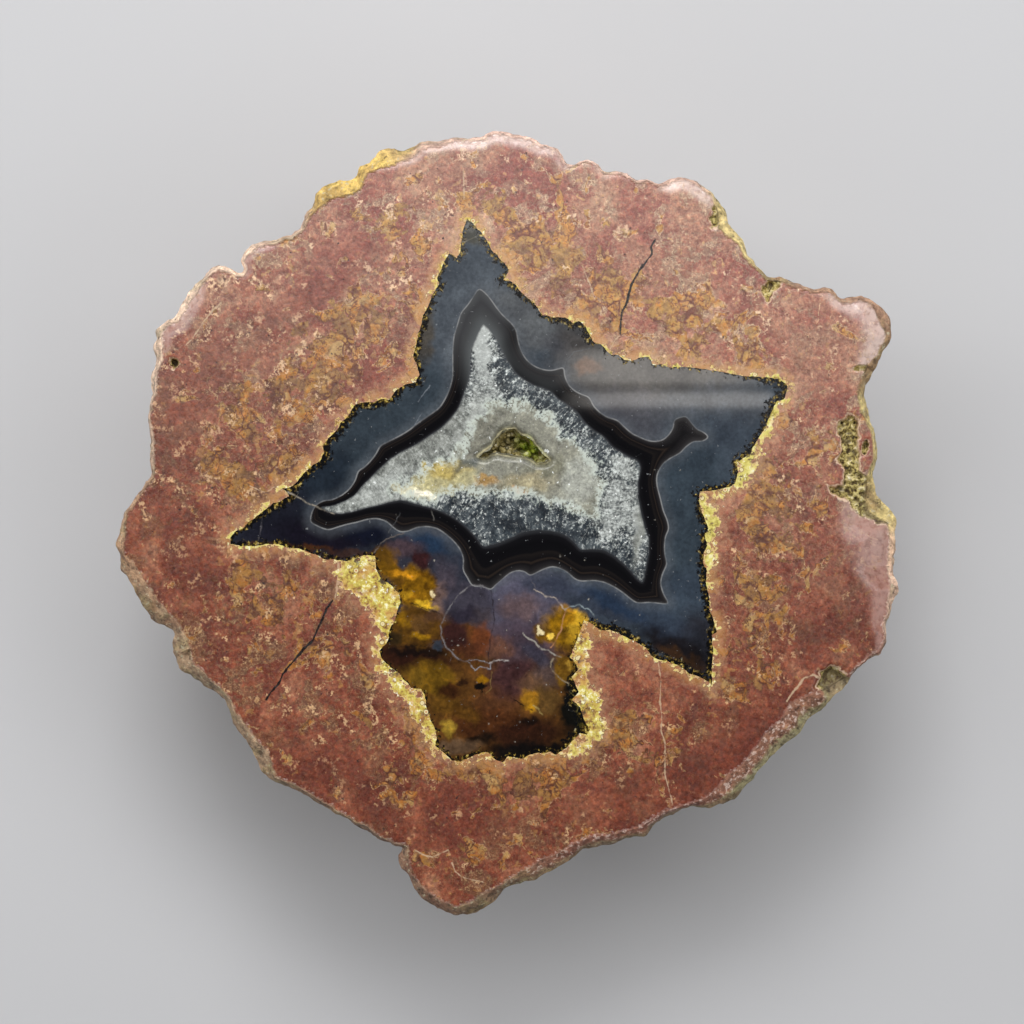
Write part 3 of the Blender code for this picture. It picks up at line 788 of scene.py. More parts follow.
# Where the face, the rind and the pocket lie on the texture sheet.
ROCK_LAYOUT = (
    (0.01, 0.20, 0.79),
    ((0.0, 0.005, 1.0, 0.185), (0.90, 0.30, 0.07)),
    ((0.82, 0.45, 0.99, 0.60), (0.90, 0.75, 0.07)),
)


def rind_noise(points):
    """How far the rind lies inside the stone's full size, as 0 or less: round lumps with creases between."""
    lift = np.zeros(len(points))
    for size, height in LUMPS:
        values = np.array([noise.noise(Vector(point) / size) for point in points])
        lift += height * (np.minimum(1.0, CREASE * np.abs(values)) - 1.0)
    return lift


def stone_edges():
    """The stone's full outline and the outline of its polished face, anticlockwise."""
    given = np.column_stack([on_face([point[:2] for point in STONE]), [point[2] * UNIT for point in STONE]])
    line = refined(given[::-1], RIND_STEP)
    full = roughened(smooth(line[:, :2], 2), 0.00022, 0.0022, 1)
    face = full - normals(smooth(full, 50)) * line[:, 2:]
    return full, roughened(face, 0.00012, 0.0011, 2)


def star_outline():
    """Where agate and rock meet, anticlockwise, with a finely ragged edge."""
    return roughened(refined(on_face(STAR)[::-1], 0.0004), 0.00016, 0.0010, 7)


def edge_rings(full, edge):
    """Levels of the rind from the face's edge to the stone's full width."""
    outward = np.column_stack([normals(smooth(full, 50)) * 0.7, np.full(len(full), 0.7)])
    for number in range(1, EDGE_LEVELS + 1):
        share = number / EDGE_LEVELS
        ring = edge[:, :2] + (full - edge[:, :2]) * share
        height = edge[:, 2] + (FACE_Z - RIND_DROP - edge[:, 2]) * share ** 1.3
        points = np.column_stack([ring, height])
        lift = fractal(points, 0.0016, 4, 4) * 0.00030 * math.sin(share * math.pi / 2)
        yield points + outward * lift[:, None]


def back_rings(full):
    """Levels of the lumpy back from the stone's full width down to the flat spot."""
    round_outline = smooth(full, 1500)
    last_angle = math.acos(FLAT_SPOT ** (1 / ROUNDNESS))
    power = 2 - ROUNDNESS
    for level in range(1, BACK_LEVELS + 1):
        angle = last_angle * (level / BACK_LEVELS) ** CROWDING
        drop = RIND_DROP + (FACE_Z - RIND_DROP) * (math.sin(angle) / math.sin(last_angle)) ** ROUNDNESS
        fade = float(ease(drop, RIND_DROP, RIND_DROP + EDGE_FADE))
        ring = (full * (1 - fade) + round_outline * fade) * math.cos(angle) ** ROUNDNESS
        calm = min(1.0, (BACK_LEVELS - level) / CALM_LEVELS)
        strength = float(ease(drop, RIND_DROP, RIND_DROP + LUMP_FADE)) * calm
        sideways = math.cos(angle) ** power / ROCK_HIGH.x
        down = math.sin(angle) ** power / FACE_Z
        facing = np.column_stack([normals(smooth(ring, 60)) * sideways, np.full(len(ring), -down)])
        facing /= math.hypot(sideways, down)
        points = np.column_stack([ring, np.full(len(ring), FACE_Z - drop)])
        lift = rind_noise(points) * strength + fractal(points, 0.007, 5, 5) * 0.0011 * calm
        yield points + facing * lift[:, None]


def loft_down(outline, depth, profile):
    """Levels of an outline that shrinks about its middle below the face."""
    middle = outline.mean(axis=0)
    levels = [(middle + (outline - middle) * share, FACE_Z - depth * down) for down, share in profile]
    return [np.column_stack([ring, np.full(len(ring), height)]) for ring, height in levels]


def face_heights(points, edge_distance):
    """How the polished rock dips: a rounded edge, broader where it is worn, and the hollows.

    Gives each point's height, how worn it is, and how far it is in a hollow.
    """
    wear = np.full(len(points), WORN_EDGE)
    for middle, reach, width in WEAR:
        wear = np.maximum(wear, width * spot(points, middle, (reach, reach), 0, 1.2))
    share_worn = ease(wear, 3, 12)
    wear *= UNIT
    drop = WORN_SLOPE * wear * np.clip(1 - edge_distance / wear, 0, 1) ** 2
    ragged = warped(points, 0.0006, 0.0016, 9)
    rough = 1 + 0.7 * fractal(points, 0.0011, 4, 14)
    hollow = np.zeros(len(points))
    for middle, half_widths, depth in PITS:
        share = spot(ragged, middle, half_widths, 0, 0.8)
        drop = np.maximum(drop, depth * UNIT * share)
        hollow = np.maximum(hollow, ease(share, 0.15, 0.5))
    for outline, depth in BREAKS:
        share = ease(depth_in(ragged, on_face(outline)[::-1]), 0.0, BREAK_EDGE)
        drop = np.maximum(drop, depth * UNIT * share * rough)
        hollow = np.maximum(hollow, share)
    return FACE_Z - drop, share_worn * ease(edge_distance / wear, 1.3, 0.2), hollow


def rock():
    """The whole stone but its star: polished face, rounded edge, lumpy rind and the pocket for the agate."""
    full, edge = stone_edges()
    star = star_outline()
    cracks = [traced(on_face(points), 0.0004) for points, _, _ in VEINS]
    beside = [crack + normals(crack) * shift for crack in cracks for shift in (-0.0003, 0.0, 0.0003)]
    dense = [(on_face(middle)[0], np.array(half_widths) * UNIT * 1.6, PIT_STEP)
             for middle, half_widths, _ in PITS]
    broken = [on_face(outline) for outline, _ in BREAKS]
    dense += [(outline.mean(axis=0), np.ptp(outline, axis=0) * 0.6, BREAK_STEP) for outline in broken]
    flat, triangles, (outer, hole) = triangulated([edge, star[::-1]], FACE_STEP, np.vstack(beside), 1, dense)
    edge_distance = nearest(flat, edge, True)[0]
    heights, wear, hollow = face_heights(flat, edge_distance)
    top = np.column_stack([flat, heights])
    rind = [*edge_rings(full, top[outer]), *back_rings(full)]
    pocket = loft_down(star[::-1], CORE_DEPTH, CORE_PROFILE)
    walls = ((outer, rind), (hole, pocket))
    piece = closed_piece("rhyolite_rock", top, triangles, walls, ROCK_LAYOUT, rock_material())
    paint_rock(piece)
    paint_face(piece, flat, star, wear=wear, hollow=hollow, rind=ease(edge_distance, RIND_SEAM, 0.0))
    return piece


def paint_rock(piece):
    """The numbers and colours that the rock's material reads at each point, on the face and below it."""
    points = coordinates(piece)
    flat = points[:, :2]
    place = warped(flat, 0.0045, 0.012, 3)
    red = richest(place, RED_PLACES, 1.2)
    depth = FACE_Z - points[:, 2]
    reach = 0.006 + 0.016 * ease(depth, 0.002, 0.012)
    tint = tinted(flat + fractals(points, 0.010, 5, (5, 6)) * reach[:, None], RIND_TINTS)[0]
    low = ease(depth + 0.008 * fractal(points, 0.009, 4, 7), 0.003, 0.016) * 0.92
    paint(piece, red=red,
          tan=richest(place, TAN_PLACES, 1.1) * (1 - red),
          # high: 0 at the stone's foot to 1 at its top, for the painted light that makes the top lighter
          high=ease(flat[:, 1] + 0.25 * flat[:, 0], -0.024, 0.092),
          grainy=richest(place, GRAINY_PLACES, 1.0),
          brown_crust=most([spot(flat, *LOBE_SIDE), spot(flat, *THIN_CRUST)]),
          fresh=spot(flat, *FRESH_RIND),
          depth=depth * 1000,
          rind_tint=tint + (srgb(*DEEP_RIND) - tint) * low[:, None])


def paint_face(piece, face, star, **shaping):
    """The numbers for the polished face alone, whose points come first. The other points take a filler."""
    contact = nearest(face, star, True)[0]
    ragged = warped(face, 0.0013, 0.0026, 6)
    broad = most([depth_in(ragged, on_face(outline)[::-1]) for outline in CRUST_AREAS])
    crust = np.maximum(broad, rim_width(face) - contact)
    numbers = {"contact": contact * 1000, "crust": crust * 1000, **shaping}
    unsteady = warped(face, 0.00016, 0.0011, 8)
    for name, dark in (("vein", False), ("crack", True)):
        gaps = [nearest(unsteady, on_face(line), False)[0] / UNIT - half
                for line, half, is_dark in VEINS if is_dark == dark]
        numbers[name] = np.minimum(np.min(np.vstack(gaps), axis=0), 9.0)
    for name, values in numbers.items():
        filler = np.full(len(piece.data.vertices) - len(face), BELOW_FACE.get(name, 0.0))
        paint(piece, **{name: np.concatenate([values, filler])})


def rim_width(points):
    """How broad the crust is beside the agate at each point: a ragged line, missing here and there."""
    broad = ease(fractal(points, 0.0035, 3, 41), -0.55, 0.55)
    thin = 1 - 0.45 * spot(points, *THIN_CRUST)
    return CRUST_RIM * UNIT * (0.25 + 0.75 * broad + 0.6 * fractal(points, 0.0007, 3, 42)) * thin


# ---------------------------------------------------------------- the rock: its material
CELL = 0.0030  # width of the ochre cells in the face
NODULE = 0.0017  # width of the round nodules in the crust
# The rings of a nodule: distances from its middle at which one starts and is full, and its colour.
NODULE_RINGS = ((0.34, 0.30, (128, 88, 44)), (0.28, 0.22, (250, 236, 180)), (0.14, 0.08, (196, 96, 40)))


def rock_material():
    """Rhyolite: brick red to mauve, flecked with tan, a yellow crust at the agate, and a rough rind."""
    s = Shader("rhyolite")
    high, hollow, share, wear, depth = map(s.number, ("high", "hollow", "rind", "wear", "depth"))
    colour, relief = rock_colour(s)
    patchy = (s.noise(0.0020, 4, 0.65, 26.0) - 0.5) * 4.0
    vein = s.step(s.number("vein") + patchy, 0.5, -0.4, 0.0, 0.75)
    colour = s.mix(vein, colour, (206, 178, 146))
    crack = s.step(patchy * 0.7 + s.number("crack"), 0.5, -0.2)
    colour = s.mix(crack, colour, (22, 13, 12))
    cover, yellow, bumps, halo = crust_colour(s)
    # the paler rock round the crust, painted lighter towards the top
    colour = s.mix(halo, colour, s.mix(high, (196, 148, 112), (216, 178, 142)))
    colour = s.mix(cover, colour, yellow)
    # hollows: porous, with a pale lip and painted shade that darkens the floor of the deeper ones
    pores = s.noise(0.0011, 4, 0.66, 12.0)
    porous = s.ramp(pores, (0.36, 48, 36, 18), (0.43, 120, 102, 52), (0.49, 194, 178, 106),
                    (0.56, 230, 214, 150), (0.66, 252, 240, 208))
    lip = s.step(hollow, 0.0, 0.08, 0.0, 0.8) * s.step(hollow, 0.6, 0.2)
    colour = s.mix(lip, s.mix(hollow, colour, porous), (228, 196, 168))
    colour = s.mix(hollow * s.step(depth, 1.6, 2.3, 0.0, 0.7), colour, (84, 64, 50))
    rind, rough = rind_colour(s)
    colour = s.mix(share, colour, rind)
    polish = s.step(s.noise(0.0009, 4, 0.7, 16.0), 0.3, 0.7, 0.20, 0.36) - wear * 0.10
    coarse = s.math('MAXIMUM', s.math('MAXIMUM', share, cover), hollow)
    roughness = s.math('ADD', polish, coarse * 0.45, clamp=True)
    relief = relief * 0.05 + bumps * cover * 0.25 + pores * hollow * 1.5 + rough * share
    return s.finish(colour, roughness, s.bump(relief, 1.0, 0.0006))


def rock_colour(s):
    """The polished rock: its colour, painted lighter at the top and darker at the foot, and its fine relief.
    """
    tan, red, high, grainy, contact, wear = map(s.number, ("tan", "red", "high", "grainy", "contact", "wear"))

    def painted_top_light(low, top):
        """A colour that goes from the stone's foot to its top: painted light, darker at the foot, lighter at
        the top.
        """
        return s.mix(high, low, top)

    grain = s.noise(0.00062, 3, 0.60, 7.0)
    fine = s.noise(0.0012, 3, 0.62, 21.0, 0.3)
    # broad soft patches of red, darker at the foot and lighter at the top as painted light
    patch = s.noise(0.010, 4, 0.58, 1.0, 0.6) - red * 0.10
    below = s.ramp(patch, (0.34, 101, 49, 37), (0.46, 125, 65, 47), (0.55, 146, 83, 61), (0.66, 163, 111, 86))
    above = s.ramp(patch, (0.34, 140, 76, 68), (0.46, 158, 97, 85), (0.55, 173, 118, 102),
                   (0.66, 191, 154, 132))
    colour = painted_top_light(below, above)
    busy = 1 - red * 0.85
    # crisp islands of deeper red, a creamy haze that only the top gets as a painted sheen, and olive grey
    # clouds
    island = s.step(s.noise(0.0036, 5, 0.60, 30.0, 0.7), 0.525, 0.550, 0.0, 0.60)
    colour = s.mix(island, colour, painted_top_light((112, 54, 42), (152, 88, 82)))
    haze = s.step(s.noise(0.012, 5, 0.62, 29.0, 0.5), 0.46, 0.58, 0.0, 0.32) * high
    colour = s.mix(haze, colour, (198, 164, 134))
    cloud = s.step(s.noise(0.0052, 5, 0.62, 18.0, 0.6), 0.53, 0.565) * busy
    colour = s.mix(cloud * 0.50, colour, painted_top_light((112, 86, 62), (176, 152, 130)))
    # ochre patches with crisp edges, each a little different, parted by mauve seams
    place = s.shifted(0.0030, 0.0060, 3.0)
    cell = s.cells(CELL, output="Color", place=place) - 0.5
    ground = s.noise(0.0050, 5, 0.60, 2.0, 0.8) + tan * 0.28 + cell * 0.20
    chosen = s.step(ground, 0.635, 0.66)
    shade = s.noise(0.0026, 4, 0.62, 5.0) * 0.75 + 0.125 + cell * 0.44
    dull = s.ramp(shade, (0.34, 118, 84, 54), (0.44, 144, 104, 60), (0.52, 160, 116, 58),
                  (0.60, 172, 108, 46), (0.70, 176, 140, 88))
    fair = s.ramp(shade, (0.34, 148, 114, 82), (0.44, 180, 142, 90), (0.52, 200, 158, 92),
                  (0.60, 202, 142, 76), (0.70, 210, 176, 126))
    colour = s.mix(chosen * 0.94, colour, painted_top_light(dull, fair))
    winding = abs(s.noise(0.0026, 4, 0.62, 19.0, 0.8) - 0.5)
    seams = s.step(winding, 0.026, 0.004, 0.0, 0.90) * s.step(ground, 0.60, 0.64, 0.40, 1.0)
    parted = s.step(s.cells(CELL, 'DISTANCE_TO_EDGE', place=place), 0.15, 0.03)
    parted *= s.step(s.noise(0.004, 3, 0.60, 28.0), 0.40, 0.56, 0.1, 0.95)
    seams = s.math('MAXIMUM', seams, parted * chosen)
    colour = s.mix(seams, colour, painted_top_light((84, 44, 34), (122, 70, 62)))
    rims = s.step(abs(ground - 0.632), 0.011, 0.003, 0.0, 0.8) * s.step(shade, 0.44, 0.54)
    colour = s.mix(rims, colour, painted_top_light((188, 152, 112), (230, 202, 168)))
    # small blotches of tan, pale squiggles in the clouds, clusters of pale grains, and dark specks
    bare = (1 - chosen * 0.75) * busy
    blotch = s.step(s.noise(0.0019, 4, 0.62, 27.0, 0.5) + tan * 0.08, 0.62, 0.65, 0.0, 0.75)
    colour = s.mix(blotch * bare, colour, painted_top_light((158, 112, 66), (208, 168, 122)))
    curl = s.step(abs(s.noise(0.0013, 3, 0.60, 24.0, 1.0) - 0.5), 0.024, 0.006, 0.0, 0.85)
    curl = curl * s.math('MAXIMUM', cloud, 0.40) * bare
    colour = s.mix(curl, colour, painted_top_light((170, 136, 100), (222, 198, 168)))
    cluster = s.step(s.noise(0.0034, 4, 0.60, 8.0) + grainy * 0.06, 0.60, 0.65) * busy
    pale = cluster * s.step(grain, 0.50, 0.54, 0.0, 0.85)
    colour = s.mix(pale, colour, painted_top_light((198, 162, 124), (230, 202, 174)))
    colour = s.mix(cluster * s.step(grain, 0.45, 0.38, 0.0, 0.6), colour, (96, 56, 46))
    specks = s.step(s.noise(0.0010, 3, 0.60, 9.0) + cluster * 0.03, 0.655, 0.69, 0.0, 0.95)
    colour = s.mix(specks, colour, (40, 30, 34))
    colour = s.lit(colour, fine, (0.30, 0.79, 0.76, 0.74), (0.50, 1.0, 1.0, 1.0), (0.70, 1.25, 1.22, 1.16))
    colour = s.lit(colour, grain, (0.30, 0.64, 0.60, 0.58), (0.50, 1.0, 0.99, 0.97), (0.70, 1.44, 1.38, 1.28),
                   share=1 - chosen * 0.3)
    # glowing orange beside the agate, pale where the edge is worn, and near-white at the top edge as a
    # painted highlight
    glow = s.step(contact, 2.8, 0.2) * s.step(shade, 0.42, 0.56, 0.0, 0.75)
    colour = s.mix(glow, colour, painted_top_light((178, 122, 58), (214, 160, 92)))
    worn = wear * s.step(fine, 0.34, 0.56, 0.45, 0.85)
    colour = s.mix(worn, colour, painted_top_light((160, 110, 96), (244, 222, 212)))
    return colour, grain + fine


def crust_colour(s):
    """The crust beside the agate: how far it covers, its colour, its relief, and the paler rock round it."""
    uneven = s.noise(0.0012, 4, 0.66, 10.0)
    ragged = (uneven - 0.5) * 9.0 + s.number("crust")
    cover = s.step(ragged, -0.10, 0.16)
    lumps = s.noise(0.0013, 4, 0.66, 11.0)
    brown = s.ramp(lumps, (0.36, 96, 62, 26), (0.42, 168, 126, 56), (0.49, 202, 180, 74),
                   (0.56, 226, 208, 102), (0.63, 255, 250, 206))
    warm = s.step(s.noise(0.0032, 4, 0.6, 22.0), 0.50, 0.60, 0.0, 0.6)
    brown = s.mix(warm, brown, (202, 142, 78))
    green = s.ramp(lumps, (0.36, 146, 122, 50), (0.44, 204, 189, 92), (0.54, 228, 216, 120),
                   (0.66, 244, 236, 180))
    colour = s.mix(s.number("brown_crust"), green, brown)
    # a cream line beside the rock, dark pores beside the agate, and pale grains
    colour = s.mix(s.step(ragged, 0.9, 0.2, 0.0, 0.80), colour, (232, 190, 138))
    pores = s.step(uneven, 0.47, 0.40, 0.0, 0.95) * s.step(s.number("contact"), 2.2, 0.2, 0.2, 1.0)
    colour = s.mix(pores, colour, (58, 42, 22))
    colour = s.mix(s.step(s.noise(0.0008, 3, 0.60, 25.0), 0.60, 0.68, 0.0, 0.9), colour, (255, 250, 226))
    # round nodules, brown outside, then cream, and orange in the middle
    picked = s.step(s.cells(NODULE, output="Color"), 0.60, 0.64)
    nodule = s.cells(NODULE)
    for start, end, shade in NODULE_RINGS:
        colour = s.mix(s.step(nodule, start, end, 0.0, 0.8) * picked, colour, shade)
    halo = s.step(ragged, -3.0, -0.3, 0.0, 0.42) * s.step(lumps, 0.36, 0.56, 0.3, 1.0)
    return cover, colour, lumps + uneven * 0.5, halo


def rind_colour(s):
    """The rough rind: its colour, with painted shade and light that follow its relief, and its relief."""
    rough = s.noise(0.0016, 5, 0.66, 13.0)
    grit = s.noise(0.00075, 3, 0.60, 23.0)
    lichen = s.step(s.noise(0.006, 5, 0.62, 14.0, 0.4), 0.52, 0.62, 0.0, 0.372)
    tint = s.mix(lichen, s.colour("rind_tint"), (134, 130, 80))
    earth = s.step(s.noise(0.009, 5, 0.62, 15.0, 0.4), 0.52, 0.62, 0.0, 0.434)
    tint = s.mix(earth, tint, (128, 80, 60))
    # reddish rock with pinkish grains just below the face
    fresh = s.step(s.number("depth") + rough * 2.4, 2.9, 2.1) * s.number("fresh")
    tint = s.mix(fresh * 0.72, tint, (152, 88, 74))
    # painted shade and light: darker where the relief sinks between its lumps, lighter on their tops
    colour = s.lit(tint, rough, (0.32, 0.26, 0.24, 0.22), (0.44, 0.78, 0.76, 0.74), (0.55, 1.18, 1.16, 1.12),
                   (0.68, 1.8, 1.8, 1.7))
    grains = s.mix(fresh, (206, 196, 164), (248, 218, 202))
    colour = s.mix(s.step(grit + fresh * 0.05, 0.57, 0.66, 0.0, 0.62), colour, grains)
    colour = s.mix(s.step(grit, 0.42, 0.32, 0.0, 0.66), colour, (44, 32, 26))
    return colour, grit * 0.6 + rough


# ---------------------------------------------------------------- the agate star
AGATE_STEP = 0.00024  # spacing of points on it
CRUST_DEPTH = FACE_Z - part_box("quartz_crust")[0].z
CRUST_PROFILE = ((0.004, 0.999), (0.40, 0.92), (0.75, 0.70), (1.0, 0.38))  # depth and width of its pocket
LINE_STEP = 0.00022  # spacing of points along its thin lines
LINE_SIDE = 0.00014  # how far beside a line its extra points lie
# Where its face, its outside and its pocket lie on the texture sheet.
AGATE_LAYOUT = (
    (0.01, 0.10, 0.89),
    ((0.01, 0.005, 0.90, 0.06), (0.95, 0.70, 0.03)),
    ((0.92, 0.10, 0.99, 0.50), (0.95, 0.85, 0.03)),
)
# How far the sooty edge of the agate reaches in, from 0 to 1: value, cover, ellipse, softness.
SOOT = (
    (0.4, 1.0, ((508, 523), (900, 900), 0), 0.1),
    (1.0, 1.0, ((330, 440), (110, 80), 42), 0.7),
    (0.75, 1.0, ((420, 330), (30, 70), -12), 0.8),
    (0.7, 1.0, ((500, 268), (40, 46), -30), 0.8),
    (0.95, 1.0, ((575, 330), (26, 14), -20), 0.8),
    (0.12, 1.0, ((680, 366), (70, 22), -6), 0.8),
    (1.0, 1.0, ((778, 396), (26, 34), 0), 0.8),
    (0.8, 1.0, ((735, 470), (34, 60), 30), 0.8),
    (0.9, 1.0, ((708, 570), (20, 90), 0), 0.8),
    (0.8, 1.0, ((670, 660), (60, 26), -28), 0.8),
    (0.45, 1.0, ((310, 548), (90, 16), -6), 0.8),
    (0.1, 1.0, ((400, 630), (60, 120), 0), 0.8),
    (0.95, 1.0, ((596, 618), (30, 12), -30), 0.8),
    (0.15, 1.0, ((570, 640), (24, 40), 0), 0.8),
    (1.0, 1.0, ((576, 712), (30, 38), 0), 0.8),
    (0.4, 1.0, ((500, 754), (60, 14), 0), 0.8),
)
# Where the dark band is hazy and grey instead of black.
HAZE = ((1.0, 1.0, ((478, 318), (30, 66), 4), 0.9), (0.5, 1.0, ((536, 366), (36, 14), -32), 0.9))
# How strongly the lobe is mottled.
CLOUDY = (
    (0.6, 1.0, ((480, 700), (120, 56), 0), 0.6),
    (0.8, 1.0, ((412, 590), (36, 34), 0), 0.7),
    (0.6, 1.0, ((416, 627), (26, 20), 0), 0.6),
    (0.85, 1.0, ((566, 632), (34, 24), 0), 0.7),
)
# The lobe and the blobs above it.
LOBE = (
    (360, 556), (376, 548), (400, 534), (470, 560), (492, 592), (530, 576), (545, 592), (575, 600),
    (600, 620), (620, 780), (420, 780), (360, 640),
)
